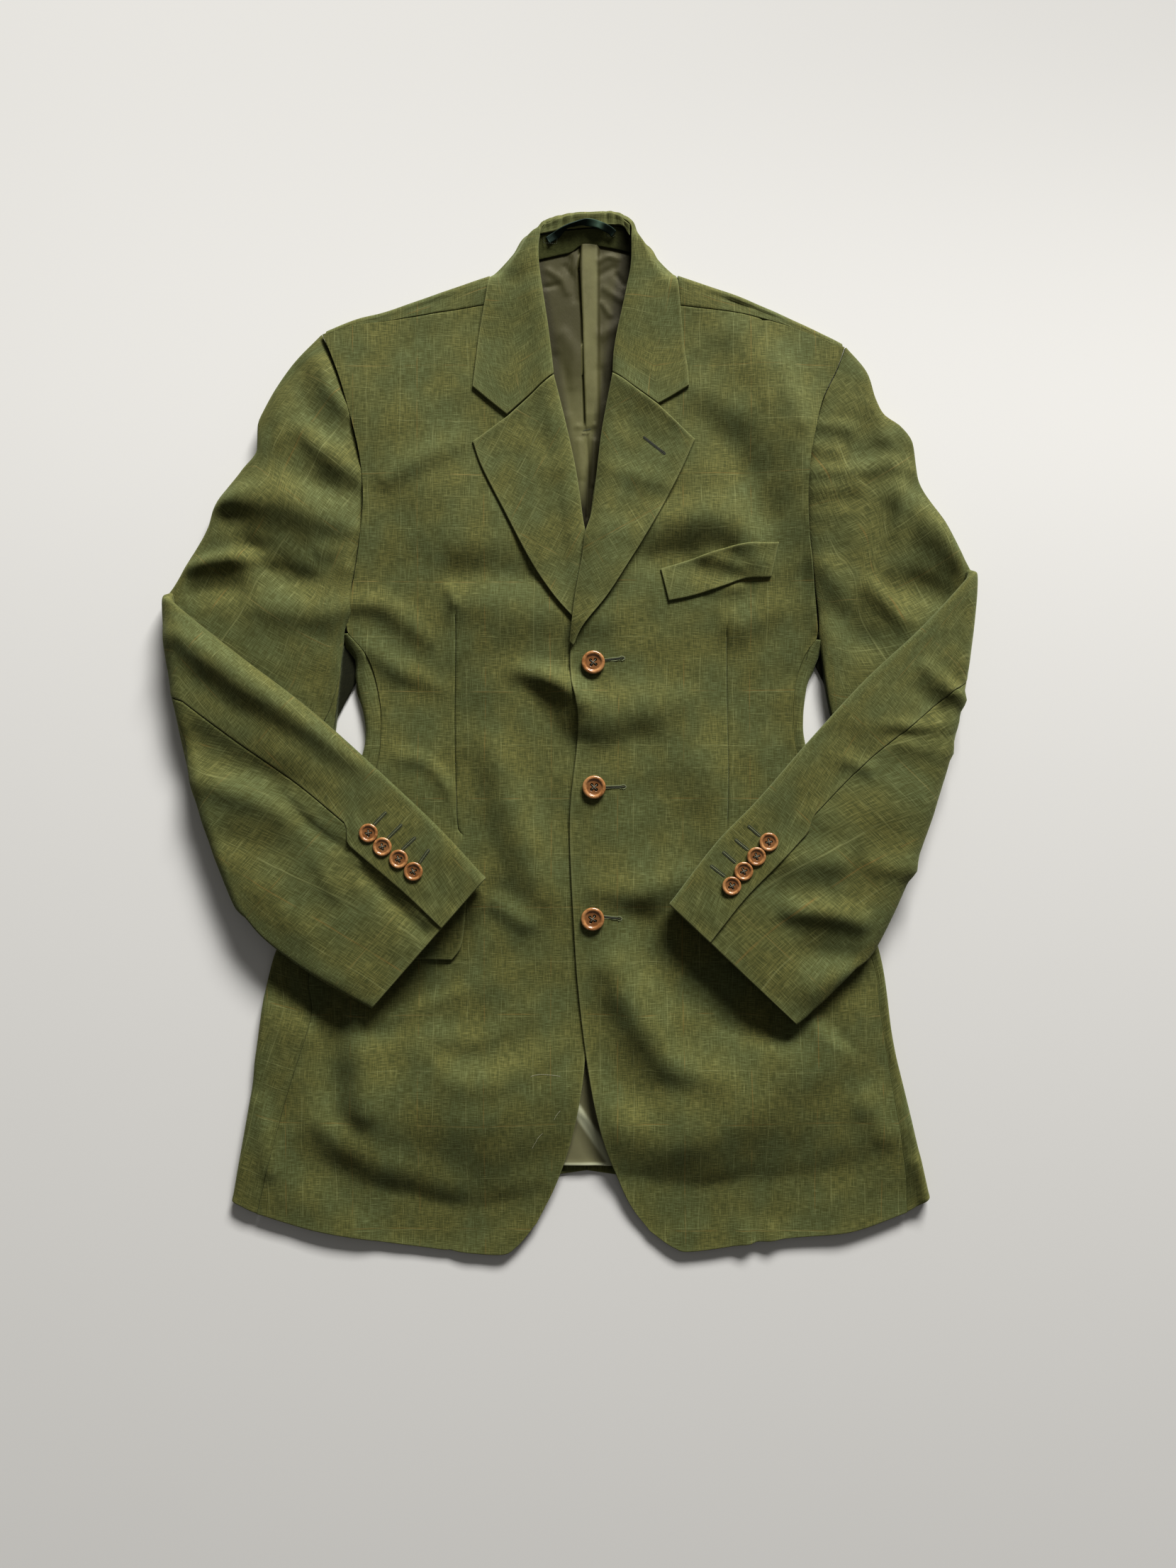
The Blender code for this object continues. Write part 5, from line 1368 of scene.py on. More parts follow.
UPPER_ARM_FOLDS = dict(
    right=[
        [(-205, 301, 7, 2), (-196, 277, 7, 3.6), (-177, 257, 6, 2)],
        [(-223, 298, 9, -1.6), (-216, 269, 9, -2), (-199, 248, 8, -1.4)],
        [(-238, 275, 9, 1.6), (-235, 240, 10, 1.6)],
        [(-219, 245, 8, 2.4), (-197, 226, 9, 4.8), (-174, 210, 7, 2.6)],
        [(-223, 212, 9, -1.6), (-200, 200, 9, -2.4), (-177, 193, 7, -1.4)],
        [(-298, 185, 6, 3), (-282, 189, 8, 5.5), (-264, 192, 12, 6.5), (-235, 189, 18, 6),
         (-203, 175, 14, 4.6), (-177, 165, 9, 2.4)],
        [(-263, 152, 9, -3), (-236, 132, 11, -4.4), (-216, 125, 10, -4), (-199, 136, 8, -2.2)],
        [(-319, 133, 5, 2.5), (-293, 140, 6, 4.2), (-267, 143, 6, 4), (-243, 142, 5, 2)],
        [(-307, 115, 9, -2), (-275, 119, 10, -2)],
        [(-252, 103, 12, 3.2), (-212, 97, 12, 3.4), (-178, 103, 8, 2)],
        [(-203, 147, 5, 1.6), (-180, 150, 5, 1.6)],
        [(-207, 133, 5, 1.4), (-183, 136, 5, 1.4)],
    ],
    left=[
        [(198, 252, 4, 1.4), (224, 248, 5, 2)],
        [(197, 233, 4, 1.2), (216, 228, 4, 1.4)],
        [(196, 213, 5, 1.8), (227, 212, 6, 2.6), (253, 218, 8, 3), (278, 212, 7, 2)],
        [(198, 198, 4, 1.4), (230, 200, 5, 2.2)],
        [(199, 177, 4, 0.8), (221, 178, 5, 1)],
        [(247, 266, 8, 1.6), (253, 240, 9, 2.4)],
        [(265, 200, 7, 2.4), (264, 153, 8, 2.8), (259, 129, 8, 1.6)],
        [(263, 194, 12, 3), (284, 174, 15, 5), (310, 153, 16, 6.4), (331, 136, 12, 4.8)],
        [(278, 120, 14, -4.4), (305, 110, 12, -3.6)],
        [(241, 120, 8, 2.4), (257, 104, 8, 3.6), (276, 84, 7, 2.6)],
        [(215, 102, 16, -2.6), (235, 78, 14, -2.6)],
        [(207, 136, 9, 1.6), (221, 107, 9, 1.6)],
    ],
)
FOREARM_FOLDS = dict(
    right=[
        [(-314, 78, 11, 4.6), (-267, 46, 14, 6.4), (-218, 12, 13, 4.8), (-166, -28, 9, 1.6)],
        [(-303, -8, 15, -3.6), (-269, -25, 16, -4.2), (-235, -39, 13, -3.2), (-206, -48, 10, -1.4)],
        [(-232, -51, 4, -1.8), (-209, -75, 4, -2.4), (-183, -93, 4, -2)],
        [(-293, -38, 10, 2.6), (-263, -48, 11, 3.4), (-235, -63, 9, 2)],
        [(-275, -84, 12, -2), (-235, -95, 12, -2)],
        [(-168, -111, 6, -2), (-145, -134, 7, -3.2), (-119, -159, 6, -2.6)],
        [(-203, -103, 7, 1.4), (-189, -129, 7, 1.4)],
        [(-246, -130, 14, 2), (-212, -158, 12, 2)],
        [(-293, 90, 6, 1.4), (-314, 95, 6, 1.2)],
    ],
    left=[
        [(283, 53, 5, 2.4), (301, 37, 6, 3.6), (320, 22, 5, 2)],
        [(276, 35, 5, -1.4), (296, 18, 5, -1.8)],
        [(250, 7, 4, 1.6), (284, 5, 5, 2.4), (310, 8, 4, 1.2)],
        [(263, -9, 5, 1.6), (305, -13, 5, 1.8)],
        [(220, -22, 5, 1.6), (238, -29, 5, 2)],
        [(175, -103, 12, 2.6), (211, -103, 12, 3)],
        [(241, -105, 8, 2.4), (276, -110, 8, 3)],
        [(176, -141, 9, 3.4), (204, -143, 10, 5), (230, -151, 9, 3.4)],
        [(186, -175, 12, -2.4), (221, -178, 12, -2.4)],
        [(256, -54, 26, 3), (215, -77, 24, 2)],
        [(192, -204, 12, 1.6), (221, -193, 10, 1.6)],
    ],
)
print(len(RIGHT_SLEEVE), "and", len(LEFT_SLEEVE), "rings")

# %% Sleeve rings
ELBOW_STEP = 1.3  # rows through the elbow's fold


def monotone(knots, values, at):
    """Smooth curves through the rows' values that never overshoot between two rows."""
    gap = np.diff(knots)[:, None]
    slope = np.diff(values, axis=0) / gap
    same_way = slope[1:] * slope[:-1] > 0
    total = np.where(same_way, slope[1:] + slope[:-1], 1.0)
    inner = np.where(same_way, 2 * slope[1:] * slope[:-1] / total, 0.0)
    slopes = np.vstack((slope[:1], inner, slope[-1:]))
    k = np.clip(np.searchsorted(knots, at, side="right") - 1, 0, len(knots) - 2)
    h = gap[k]
    t = (at - knots[k])[:, None] / h
    return ((2 * t ** 3 - 3 * t ** 2 + 1) * values[k] + (t ** 3 - 2 * t ** 2 + t) * h * slopes[k]
            + (3 * t ** 2 - 2 * t ** 3) * values[k + 1] + (t ** 3 - t ** 2) * h * slopes[k + 1])


def ring_ends(rows):
    """Each ring's outer and inner end, as points."""
    return [np.column_stack((rows[:, k:k + 2], rows[:, k + 6])) for k in (0, 2)]


def row_places(table):
    """How far down the sleeve each table row is: the mean way that the ring's two ends move."""
    outer, inner = (np.linalg.norm(np.diff(end, axis=0), axis=1) for end in ring_ends(table))
    return np.concatenate(([0.0], np.cumsum((outer + inner) / 2)))


def dense_places(table, knots):
    """Row places with fine steps at both ends and through the elbow's fold."""
    turn = table[:, TURN]
    fold = knots[turn < 1][-1], knots[turn > 179][0]
    before = spread(fold[0]) * fold[0]
    after = fold[1] + spread(knots[-1] - fold[1]) * (knots[-1] - fold[1])
    inside = np.linspace(*fold, max(8, round((fold[1] - fold[0]) / ELBOW_STEP)))[1:-1]
    return np.concatenate((before, inside, after))


def ring_points(rows, bow_line, f):
    """Middle points of the sleeve: rows of the table by fractions round the ring."""
    outer, inner = rows[:, None, 0:2], rows[:, None, 2:4]
    share, own, outer_mid, outer_half, inner_mid, inner_half, turn = rows[:, 4:].T[:, :, None]
    turn = np.radians(turn)
    chord = outer - inner
    normal = unit(np.stack((chord[..., 1], -chord[..., 0]), -1))
    normal = np.where(normal[..., :1] * outer[..., :1] < 0, -normal, normal)
    angle = math.tau * f
    across = (1 - np.cos(angle)) / 2
    mid = inner_mid + (outer_mid - inner_mid) * across
    half = inner_half + (outer_half - inner_half) * across
    section = (1 - np.abs(np.cos(angle)) ** SECTION_POWER) ** (1 / SECTION_POWER)
    rise = half * section * np.sign(np.sin(angle))
    bow = np.stack([np.interp(across, bow_line[0], column) for column in bow_line[1].T], -1)
    plan = inner + chord * across[..., None] - normal * (rise * np.sin(turn))[..., None]
    plan = plan + bow * share[..., None] - normal * (own * 4 * across * (1 - across))[..., None]
    return np.dstack((plan, mid + rise * np.cos(turn))), np.sin(angle) * np.cos(turn)


def armhole_bow(half):
    """How far the armhole stands off its chord, by the fraction across from the inner end."""
    line = along(through(half["armhole"]), even(41))[::-1]
    f = even(41)
    return f, line - line[0] * (1 - f)[:, None] - line[-1] * f[:, None]

# %% Sleeves
HIDDEN_SHARE = 0.3  # of a fold's depth on the side that lies down
ARM_DEPTH = 1.4  # all of the sleeve folds, against their numbers
ARM_HOLLOW, ARM_SWELL = -6.0, 9.0
PEEK = dict(right=(15.0, 12, 47, 64, 88), left=(8.0, 40, 62, 74, 88))  # reach, then y of its rise and fall
PEEK_SPAN = ((0.84, 0.93), (0.96, 1.0))  # round the ring, where the under sleeve bulges
LAP_RISE, LAP_FOLD = 1.15, (-0.030, -0.006)  # the lap stands up, from this far before the seam
LAP_SINK, LAP_UNDER = 0.55, (0.03, 0.07)  # and what it lies on sinks, to this far past it
VENT_EASE = 6.0  # length in which the lap starts
ARMHOLE_DIP = 3.5  # length in which the sleeve sinks to its seam
ARM_WAVES = ((0.9, 85, SEED + 4), (0.4, 30, SEED + 5))  # height, size and seed of its uneven waves
CUFF_CALM = 12  # a cuff button holds the cloth level this far round
SLEEVE_STEP = 3.2
UNDER_FOREARM = 0.8  # room for the upper arm's folds where the forearm lies on them
FOREARM_EDGE = dict(right=[(-321, 103), (-149, -37)], left=[(321, 125), (190, -8)])


def sleeve_relief(side_name, x, y, up, turned_over):
    forearm, upper_arm = (relief(table[side_name], x, y) for table in (FOREARM_FOLDS, UPPER_ARM_FOLDS))
    folds = ARM_DEPTH * np.where(turned_over, forearm, upper_arm)
    for rise, size, seed in ARM_WAVES:
        folds = folds + rise * unevenness(x, y, size, seed)
    start, stop = np.array(FOREARM_EDGE[side_name], float)
    ahead = unit(stop - start)
    above = np.abs(ahead[0]) * (y - start[1]) - ahead[1] * np.sign(ahead[0]) * (x - start[0])
    room = UNDER_FOREARM + (ARM_SWELL - UNDER_FOREARM) * ramp(above, (2, 26))
    folds = kept_between(folds, ARM_HOLLOW, np.where(turned_over, ARM_SWELL, room))
    for k in (1, 2, 3, 4):
        place = middle_of(f"cuff_button_{side_name}_{k}")[0]
        folds = folds * (1 - turned_over * bell(np.hypot(x - place[0], y - place[1]), CUFF_CALM))
    shown, hidden = ramp(up, (0.0, 0.5)), ramp(-up, (0.0, 0.5))
    return folds * shown + np.minimum(folds, 0) * hidden * HIDDEN_SHARE


def peek(side_name, y):
    """How far the under sleeve shows beside the arm at this height, mm."""
    reach, low, full, top, end = PEEK[side_name]
    return reach * np.clip((y - low) / (full - low), 0, 1) * np.clip((end - y) / (end - top), 0, 1)


def gap_mask(half, table, points):
    """Which points of the under sleeve lie in the narrow gap beside the body, to get painted shade."""
    inner = np.interp(points[:, 1], table[:UPPER_RINGS, 3][::-1], table[:UPPER_RINGS, 2][::-1])
    bare = ramp(-half["side"] * (points[:, 0] - inner), (-1.5, 1.0))
    return bare * ramp(points[:, 1], (0, 10)) * (points[:, 2] < 9)


def sleeve_cut(rows, f, base, length):
    """The piece laid flat: across by the ring's breadth, which a slanting ring makes less."""
    outer, inner = ring_ends(rows)
    skew = (unit(outer - inner) * unit(np.gradient(outer + inner, axis=0))).sum(axis=1)
    breadth = length * math.sqrt(1 - (skew ** 2).mean())
    down = steps_of(base, 0)
    return np.dstack(((f - f.mean()) * breadth[:, None], down[-1:] - down))


def sleeve_piece(name, side_name, half, table, top):
    table = np.array(table, float)
    knots = row_places(table)
    s = dense_places(table, knots)
    rows = monotone(knots, table, s)
    rows[:, TURN] = np.interp(s, knots, table[:, TURN])
    seam_table = FRONT_SEAM[side_name]
    front_seam = np.interp(s, knots[:len(seam_table)], seam_table)
    length = 2 * np.linalg.norm(rows[:, 0:2] - rows[:, 2:4], axis=1)  # round each ring
    open_vent = ramp(s, (s[-1] - VENT - VENT_EASE, s[-1] - VENT))
    lap, back_seam = VENT_LAP[side_name] * open_vent, BACK_SEAM[side_name]
    gap = SEAM_GAP / 2 / length
    if top:
        start, stop = front_seam + gap, back_seam - gap + lap
    else:
        start, stop = back_seam + gap, front_seam + 1 - gap
    share = spread(float(((stop - start) * length).mean()), SLEEVE_STEP)
    f = start[:, None] + (stop - start)[:, None] * share[None]
    base, up = ring_points(rows, armhole_bow(half), f)
    outwards = -normals(base) * half["side"]
    turned_over = np.broadcast_to(rows[:, TURN:] > 90, f.shape)
    push = sleeve_relief(side_name, base[..., 0], base[..., 1], up, turned_over)
    past = f - back_seam
    if top:
        push = push + LAP_RISE * ramp(past, LAP_FOLD) * open_vent[:, None]
    else:
        push = push - LAP_SINK * (1 - ramp(past, LAP_UNDER)) * open_vent[:, None]
    push = push - SEAM_SINK * bell(s, ARMHOLE_DIP)[:, None] * ramp(up, (0.0, 0.4))
    grid = base + outwards * push[..., None]
    if not top:
        bulge = ramp(f, PEEK_SPAN[0]) * (1 - ramp(f, PEEK_SPAN[1])) * (rows[:, TURN:] < 1)
        grid[..., 0] -= half["side"] * peek(side_name, grid[..., 1]) * bulge
    shade = None if top else lambda points: gap_mask(half, table, points)
    cut_piece(name, [grid], [sleeve_cut(rows, f, base, length)], shade=shade,
              turned=["high end" if top else "high"])
    return grid[up > 0.3]


FOREARM_LEVEL = 15  # only forearms are higher
forearm_tops = {}
for side_name, half, table in (("right", RIGHT, RIGHT_SLEEVE), ("left", LEFT, LEFT_SLEEVE)):
    faces = [sleeve_piece(part + side_name, side_name, half, table, part == "top_sleeve_")
             for part in ("top_sleeve_", "under_sleeve_")]
    forearm_tops[side_name] = np.vstack([face[face[:, 2] > FOREARM_LEVEL] for face in faces])
print("forearm tops:", {name: len(part) for name, part in forearm_tops.items()})

# %% [markdown]
# ## Chest welt and pocket flap
# Both are small double pieces that lie on the front. The welt is sewn in along its lower edge
# and stands a hair open on top. The flap hangs from under the cuff, its front corner rounded.

# %% Pocket pieces
WELT = dict(low=[(78.5, 108.5), (100, 113), (124, 120.6), (142, 126.6), (161.5, 127.5)],
            high=[(72, 135), (96, 142.5), (120, 150), (142, 154.6), (168, 156)])
FLAP = dict(low=[(-190, -179), (-140, -182), (-98, -184)],
            high=[(-190, -123), (-140, -125), (-85, -127)],
            end=[(-98, -184), (-91, -174), (-88, -158), (-85, -127)])
WELT_LAY = 1.75  # welt's middle over the front's middle
WELT_GRAIN = -13  # degrees
POCKET_STEP = 2.0
POCKET_OPEN = 0.25  # how much higher the top edge stands


def pocket_piece(name, shape, height, rise, grain=0.0):
    low, high = through(shape["low"]), through(shape["high"])
    start = np.array([low[0], high[0]])
    end = through(shape["end"]) if "end" in shape else np.array([low[-1], high[-1]])
    u, v = (spread(reach_along(line)[-1], POCKET_STEP) for line in (low, start))
    plan = filled(low, high, start, end, u, v)
    grid = with_height(plan, height)
    grid[..., 2] += rise + POCKET_OPEN * even(len(v))[:, None]
    return cut_piece(name, [grid], [turned_plan(plan, grain)], turned=["low high start end"])


pocket_piece("chest_welt", WELT, upper_z, WELT_LAY, WELT_GRAIN)
pocket_piece("pocket_flap", FLAP, lower_z, LAYER)

# %% [markdown]
# ## Buttons
# A tailor's button is turned on a lathe: a rolled rim, a dished middle, four holes. So it is
# spun from a profile, and the holes are cut with a Boolean. The thread crosses the middle as an
# X between the holes. Each button stands where the CAD model has it, at the size it has there.

# %% Buttons
BUTTON_SIDES = 64
BUTTON_PROFILE = [
    # reach and rise, as fractions of the radius and the thickness
    (0, 0), (0.70, 0), (0.90, 0.16), (0.985, 0.42), (1, 0.62), (0.975, 0.82), (0.92, 0.95),
    (0.85, 1), (0.78, 0.985), (0.72, 0.90), (0.675, 0.76), (0.63, 0.66), (0.50, 0.62),
    (0.30, 0.60), (0, 0.60)]
BUTTON_THICKNESS = 0.17  # as a fraction of the diameter
BOWL_SIDE = (0.60, 0.70)  # where the dished middle meets the rim, by the radius
HOLE_OUT, HOLE_SIZE, HOLE_SIDES = 0.20, 0.135, 20


def plain_mesh(piece):
    """Turn a mesh object's modifiers into a plain mesh, in place."""
    graph = bpy.context.evaluated_depsgraph_get()
    made = bpy.data.meshes.new_from_object(piece.evaluated_get(graph))
    piece.modifiers.clear()
    old, piece.data = piece.data, made
    made.name = piece.name
    bpy.data.meshes.remove(old)


def new_piece(name, points, faces, finish):
    mesh = bpy.data.meshes.new(name)
    mesh.from_pydata([tuple(p) for p in points], [], [tuple(f) for f in faces])
    mesh.materials.append(finish)
    return placed(name, mesh)


def lathe(name, profile, sides, finish):
    """A closed turned shape: the profile's first and last points lie on the axis."""
    rings = profile[1:-1]
    points = [(0, 0, profile[0][1]), (0, 0, profile[-1][1])]
    angles = [math.tau * k / sides for k in range(sides)]
    points += [(reach * math.cos(a), reach * math.sin(a), rise) for reach, rise in rings for a in angles]
    faces = []
    for k in range(sides):
        n = (k + 1) % sides
        faces.append((0, 2 + n, 2 + k))
        for j in range(len(rings) - 1):
            a, b = 2 + j * sides, 2 + (j + 1) * sides
            faces.append((a + k, a + n, b + n, b + k))
        last = 2 + (len(rings) - 1) * sides
        faces.append((last + k, last + n, 1))
    return new_piece(name, points, faces, finish)


def button(node, turn):
    (x, y), low, diameter = middle_of(node)
    radius, thickness = diameter / 2, diameter * BUTTON_THICKNESS
    profile = [(r * radius, z * thickness) for r, z in through(BUTTON_PROFILE, 3)]
    profile[0], profile[-1] = (0, 0), (0, profile[-1][1])
    piece = lathe(node + "_turned", profile, BUTTON_SIDES, HORN_FINISH)
    hole = [(0, -1), (HOLE_SIZE * radius, -1), (HOLE_SIZE * radius, thickness), (0, thickness)]
    for a in range(4):
        angle = turn + math.pi / 4 + a * math.pi / 2
        cutter = lathe("hole", hole, HOLE_SIDES, HORN_FINISH)
        out = HOLE_OUT * radius * math.sqrt(2)
        for vertex in cutter.data.vertices:
            vertex.co.x += out * math.cos(angle)
            vertex.co.y += out * math.sin(angle)
        cut = piece.modifiers.new("hole", "BOOLEAN")
        cut.operation, cut.object, cut.solver = "DIFFERENCE", cutter, "EXACT"
        plain_mesh(piece)
        bpy.data.objects.remove(cutter)
    out_by = np.array([math.hypot(v.co.x, v.co.y) for v in piece.data.vertices]) / radius
    # the dished middle, which the horn finish darkens as painted shade
    carry(piece.data, "bowl", 1 - ramp(out_by, BOWL_SIDE))
    place = (np.array([x, y, low]) - PLAN_MIDDLE) * MM
    for vertex in piece.data.vertices:
        vertex.co = [p + q * MM for p, q in zip(place, vertex.co)]
    piece.data.shade_smooth()
    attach(piece, "root")
    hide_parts(node)
    return np.array([x, y, low]), radius, thickness, turn


buttons = [button(f"front_button_{k}", turn) for k, turn in ((1, 0.1), (2, -0.05), (3, 0.2))]
for side_name, first in (("right", 0.75), ("left", -0.75)):
    buttons += [button(f"cuff_button_{side_name}_{k}", first + 0.12 * k) for k in (1, 2, 3, 4)]
print("buttons:", len(buttons))

# %% [markdown]
# ## Stitches that follow a path
# Buttonholes, bar tacks and the crossed thread of a button are all a thread that repeats along a
# line. One Geometry Nodes tree does them: it resamples a curve at the stitch spacing, sets a
# little slanted capsule on each point, and makes the result real. Its sizes are named inputs.

# %% Stitch tree
SLANT_SPREAD = 0.12  # how unevenly the stitches slant, radians


def stitch_tree():
    tree = bpy.data.node_groups.new("stitches along a path", "GeometryNodeTree")
    for name, kind in (("Geometry", "Geometry"), ("Spacing", "Float"), ("Stitch length", "Float"),
                       ("Thread radius", "Float"), ("Slant", "Float"), ("Thread", "Material")):
        tree.interface.new_socket(name, in_out="INPUT", socket_type="NodeSocket" + kind)
    tree.interface.new_socket("Geometry", in_out="OUTPUT", socket_type="NodeSocketGeometry")

    def add(kind, settings=(), links=()):
        made = tree.nodes.new(kind)
        for name, value in settings:
            setattr(made, name, value)
        for name, value in links:
            if isinstance(value, bpy.types.NodeSocket):
                tree.links.new(value, made.inputs[name])
            else:
                made.inputs[name].default_value = value
        return made

    def maths(operation, first, second):
        return add("ShaderNodeMath", [("operation", operation)], [(0, first), (1, second)])

    given = add("NodeGroupInput").outputs
    dots = add("GeometryNodeResampleCurve", [("mode", "LENGTH")],
               [("Curve", given["Geometry"]), ("Length", given["Spacing"])])
    bead = add("GeometryNodeMeshIcoSphere", (), [("Radius", 1.0), ("Subdivisions", 2)])
    tangent = add("GeometryNodeInputTangent")
    aim = add("FunctionNodeAlignRotationToVector", [("axis", "X")], [("Vector", tangent.outputs[0])])
    uneven = add("FunctionNodeRandomValue", [("data_type", "FLOAT")],
                 [(2, -SLANT_SPREAD), (3, SLANT_SPREAD), ("Seed", SEED)])
    slant = maths("ADD", given["Slant"], uneven.outputs[1])
    lean = add("ShaderNodeCombineXYZ", (), [(2, slant.outputs[0])])
    turn = add("FunctionNodeRotateRotation", [("rotation_space", "LOCAL")],
               [(0, aim.outputs[0]), (1, lean.outputs[0])])
    long_half = maths("MULTIPLY", given["Stitch length"], 0.5)
    size = add("ShaderNodeCombineXYZ", (), [(0, long_half.outputs[0]), (1, given["Thread radius"]),
                                            (2, given["Thread radius"])])
    beads = add("GeometryNodeInstanceOnPoints", (),
                [("Points", dots.outputs[0]), ("Instance", bead.outputs[0]),
                 ("Rotation", turn.outputs[0]), ("Scale", size.outputs[0])])
    real = add("GeometryNodeRealizeInstances", (), [(0, beads.outputs[0])])
    soft = add("GeometryNodeSetShadeSmooth", (), [("Geometry", real.outputs[0])])
    dyed = add("GeometryNodeSetMaterial", (),
               [("Geometry", soft.outputs[0]), ("Material", given["Thread"])])
    add("NodeGroupOutput", (), [(0, dyed.outputs[0])])
    return tree


STITCHES = stitch_tree()


def stitched(name, lines, thread, spacing, length, radius, slant):
    """Thread along lines of points in mm: one plain mesh piece."""
    curve = bpy.data.curves.new(name, "CURVE")
    curve.dimensions = "3D"
    for line in lines:
        spline = curve.splines.new("POLY")
        spline.points.add(len(line) - 1)
        for point, place in zip(spline.points, (np.asarray(line) - PLAN_MIDDLE) * MM):
            point.co = (*place, 1.0)
    piece = placed(name, curve)
    sewn = piece.modifiers.new("stitches", "NODES")
    sewn.node_group = STITCHES
    sizes = {"Spacing": spacing * MM, "Stitch length": length * MM, "Thread radius": radius * MM,
             "Slant": slant, "Thread": thread}
    for item in STITCHES.interface.items_tree:
        if item.in_out == "INPUT" and item.name in sizes:
            sewn[item.identifier] = sizes[item.name]
    graph = bpy.context.evaluated_depsgraph_get()
    mesh = bpy.data.meshes.new_from_object(piece.evaluated_get(graph))
    bpy.data.objects.remove(piece)
    mesh.name = name
    plain = placed(name, mesh)
    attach(plain, "root")
    print(name, "stitches:", len(lines), "lines,", len(mesh.polygons), "faces")
    return plain

# %% [markdown]
# ## Buttonholes
# A hand-worked buttonhole is a slit between two rows of close purl stitches. The front ones are
# keyholes, with a round end; the cuff ones are straight and the lapel one is narrow. Each is
# drawn from its middle line, at the height of the cloth there.

# %% Buttonholes
FRONT_HOLES = [
    # start, end
    ((26.5, 60), (41.5, 61.7)),
    ((27.1, -43.3), (42.7, -42.7)),
    ((24.8, -148.3), (39.2, -150)),
]
CUFF_HOLES = dict(
    right=[((-158.1, -72.7), (-149.4, -63.5)), ((-147.1, -83.7), (-136.7, -73.3)),
           ((-135.6, -92.9), (-125.8, -83.7)), ((-121.7, -103.3), (-114.8, -93.5))],
    left=[((150.6, -81.9), (141.9, -74.4)), ((140.8, -92.9), (131.6, -85.4)),
          ((131, -103.3), (121.7, -95.2)), ((122.3, -114.2), (111.9, -106.2))],
)
LAPEL_HOLE = ((58.3, 241.2), (75, 227.9))
KEY_PLACE, KEY_WIDTH = 0.93, 1.1  # the round end: share of the slit's length, and mm
PURL_STEP, PURL_RADIUS, PURL_SLANT = 0.42, 0.24, math.radians(72)
SLIT_STEP, SLIT_LENGTH, SLIT_RADIUS, SLIT_DROP = 0.5, 1.6, 0.42, 0.05
ON_TOP = 0.05  # a thread's middle line over the cloth's face


def on_cloud(cloud, xy):
    """Height of the nearest point of a face in plan."""
    away = np.linalg.norm(cloud[None, :, :2] - np.asarray(xy)[:, None], axis=2)
    return cloud[away.argmin(1), 2]


def hole_lines(start, end, top, key, gap):
    """The purl line round a hole, this far from the slit, and the slit inside it, in mm."""
    start, end = np.array(start, float), np.array(end, float)
    ahead = unit(end - start)
    aside = np.array([-ahead[1], ahead[0]])
    length = np.linalg.norm(end - start)
    side = even(14)
    bulge = gap + key * bell((side - KEY_PLACE) * length, KEY_WIDTH)
    turn = np.linspace(math.pi / 2, -math.pi / 2, 7)[1:-1]
    tip = [(length + bulge[-1] * math.cos(a), bulge[-1] * math.sin(a)) for a in turn]
    path = [*zip(side * length, bulge), *tip, *zip(side[::-1] * length, -bulge[::-1])]
    purl = np.array([start + ahead * along_it + aside * off for along_it, off in path])
    slit = np.array([start + ahead * length * t for t in even(10)])
    return [np.column_stack((line, top(line))) for line in (purl, slit)]


def sew_holes(name, holes, top, key, rib, gap, threads):
    """Holes with a round end that is wider by key, purl stitches rib long, and two finishes: the purl's
    thread, and the slit's beads, which are near-black painted shade where DARK_SLIT is given.
    """
    purls, slits = zip(*[hole_lines(start, end, top, key, gap) for start, end in holes])
    stitched(name + "_purl", purls, threads[0], PURL_STEP, rib, PURL_RADIUS, PURL_SLANT)
    stitched(name + "_slit", [slit - [0, 0, SLIT_DROP] for slit in slits], threads[1],
             SLIT_STEP, SLIT_LENGTH, SLIT_RADIUS, 0.0)


def on_front(line):
    return upper_z(line[:, 0], line[:, 1]) + CLOTH / 2 + ON_TOP


def on_lapel(line):
    lay = relief(LAPEL_FOLDS, line[:, 0], line[:, 1]) + LAYER * LAPELS["left"]["layers"]
    return on_front(line) + lay - ON_TOP


def on_forearm(side_name):
    return lambda line: on_cloud(forearm_tops[side_name], line) + CLOTH / 2 + ON_TOP


# the front and lapel slits get near-black beads, as painted shade inside the slit
sew_holes("front_buttonholes", FRONT_HOLES, on_front, 0.75, 1.25, 1.05, (PURL_THREAD, DARK_SLIT))
for side_name, holes in CUFF_HOLES.items():
    sew_holes("cuff_buttonholes_" + side_name, holes, on_forearm(side_name), 0.0, 1.0, 0.9,
              (GREEN_THREAD, PURL_THREAD))
sew_holes("lapel_buttonhole", [LAPEL_HOLE], on_lapel, 0.4, 1.0, 0.75, (GREEN_THREAD, DARK_SLIT))

# %% [markdown]
# ## Thread on the buttons and small tacks
# The thread runs from hole to hole as a cross. The loop's two ends are held by a stitched box
# each, and a small tack holds the lining's pleat. A few pulled threads lie on the skirt.

# %% Threads and tacks
THREAD_RADIUS = 0.24
BOWL_FLOOR = 0.60  # the dished middle's height, as a fraction of the thickness
THREAD_ARCH, THREAD_ENDS, THREAD_OVER = 0.55, 0.15, 0.18  # its rise, its ends' depth, one over the other


def cross_lines(place, radius, thickness, turn):
    """The crossed thread of a button: out of one hole, over the middle, into the other."""
    out = HOLE_OUT * radius * math.sqrt(2)
    lines = []
    for quarter in (0, 1):
        angle = turn + math.pi / 4 + quarter * math.pi / 2
        line = []
        for t in np.linspace(-1, 1, 11):
            rise = BOWL_FLOOR * thickness + THREAD_ARCH * (1 - t ** 4)
            rise += THREAD_OVER * quarter * (1 - abs(t)) - THREAD_ENDS
            line.append(place + [t * out * math.cos(angle), t * out * math.sin(angle), rise])
        lines.append(np.array(line))
    return lines


crosses = [line for item in buttons for line in cross_lines(*item)]
stitched("button_threads", crosses, GREY_THREAD, 0.45, 1.5, THREAD_RADIUS, 0.5)

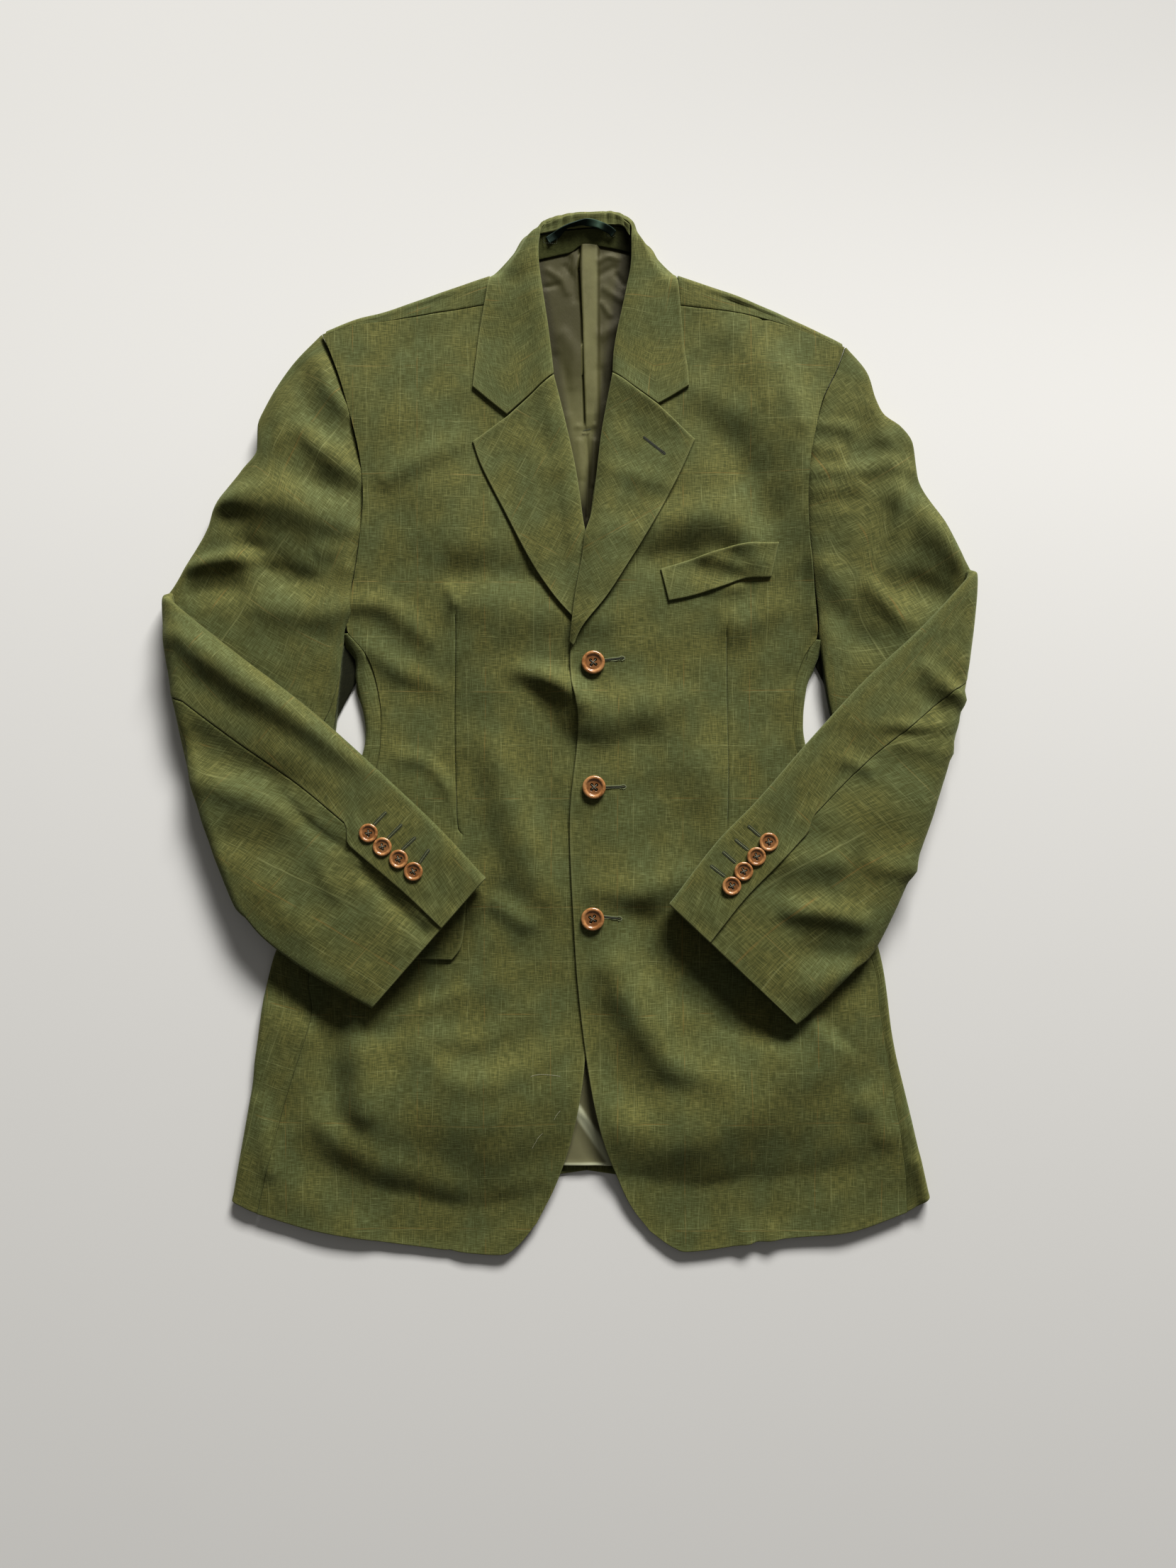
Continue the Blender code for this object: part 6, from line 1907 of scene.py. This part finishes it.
LOOP_BOXES = [
    [(-23.7, 406.8), (-11.5, 406.8), (-12.7, 399.3), (-23.1, 399.9)],
    [(28.8, 412.6), (35.2, 411.4), (34.6, 405.1), (28.3, 405.6)],
]


LOOP_BOX_RISE = 1.3  # over the loop's lowest place
TACK = [(9.2, 248.1), (15, 249.3)]


def level(corners, z):
    return np.array([(*corner, z) for corner in corners])


loop_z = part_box("hanger_loop")[0][2] / MM + LOOP_BOX_RISE
stitched("loop_box_stitches", [level([*box, box[0]], loop_z) for box in LOOP_BOXES], GREEN_THREAD,
         1.5, 1.2, 0.22, 0.0)
pleat_z = LINING_Z + LINING_LIFT + THIN / 2 + PLEAT_RISE
stitched("pleat_tack", [level(TACK, pleat_z)], GREEN_THREAD, 0.7, 1.8, 0.22, 1.2)

HAIRS = [
    [(-24.2, -323.7), (-27.1, -326.6), (-29.4, -330.6), (-32.3, -335.8)],
    [(-14.4, -312.2), (-12.7, -308.7), (-9.8, -305.2)],
    [(-32.9, -276.4), (-24.8, -275.2), (-9.8, -277)],
]


def hair(points, top):
    line = through(points, 8)
    return np.column_stack((line, top(line[:, 0], line[:, 1]) + CLOTH / 2 + ON_TOP * 2))


stitched("pulled_threads", [hair(points, lower_z) for points in HAIRS], PALE_HAIR,
         0.5, 1.2, 0.11, 0.1)

# %% [markdown]
# ## Floor and light
# A pale floor under soft daylight: one large light stands beyond the collar, low enough that
# folds across the body show, and the world fills the shadows. The floor's own tone is darker
# beyond the collar, because the light is near there and the photograph's floor stays even.

# %% Floor and light
FLOOR_SIZE = 6.0
FLOOR_NEAR = (0.700, 0.697, 0.684, 1)  # at the picture's left
FLOOR_FAR = (0.655, 0.652, 0.640, 1)
FLOOR_TOP = (0.410, 0.408, 0.400, 1)  # beyond the collar
FLOOR_GRAIN, GRAIN_SHARE = (0.6, 0.585, 0.56, 1), 0.06
FLOOR_ACROSS, FLOOR_UP = (-0.6, 0.7), (0.2, 0.7)  # where its tone changes, m
LIGHT_PLACE = (1.2, 3.95, 2.0)  # middle of the window-like light, m
LIGHT_SIZE = (2.2, 1.0)
LIGHT_POWER = 400.0
FILL = 0.13


def floor():
    finish = Finish("pale floor")
    across, up = finish.parts(finish.node("ShaderNodeTexCoord", output="Object"))
    right = across.between(*FLOOR_ACROSS)
    tint = finish.mix(right, FLOOR_NEAR, FLOOR_FAR)
    tint = finish.mix(up.between(*FLOOR_UP) * (right * 0.6 + 0.4), tint, FLOOR_TOP)
    tint = finish.mix(finish.solid_noise(Scale=9.0) * GRAIN_SHARE, tint, FLOOR_GRAIN)
    finish.surface(Base_Color=tint, Roughness=0.75, Specular_IOR_Level=0.2)
    h = FLOOR_SIZE / 2
    corners = [(-h, -h, 0), (h, -h, 0), (h, h, 0), (-h, h, 0)]
    new_piece("floor", corners, [(0, 1, 2, 3)], finish.material)


def window_light():
    data = bpy.data.lights.new("window", "AREA")
    data.shape = "RECTANGLE"
    data.size, data.size_y = LIGHT_SIZE
    data.energy = LIGHT_POWER
    data.color = (1.0, 0.985, 0.96)
    lamp = placed("window", data)
    lamp.location = LIGHT_PLACE
    lamp.rotation_euler = (-lamp.location).to_track_quat("-Z", "Y").to_euler()


def sky_fill():
    world = bpy.data.worlds.new("room")
    world.use_nodes = True
    back_node = world.node_tree.nodes["Background"]
    back_node.inputs["Color"].default_value = (1.0, 0.975, 0.93, 1)
    back_node.inputs["Strength"].default_value = FILL
    bpy.context.scene.world = world


floor()
window_light()
sky_fill()
bpy.context.scene.view_settings.view_transform = "Standard"
bpy.context.scene.view_settings.look = "Medium High Contrast"
print("light at", LIGHT_PLACE, "of", LIGHT_POWER, "W")
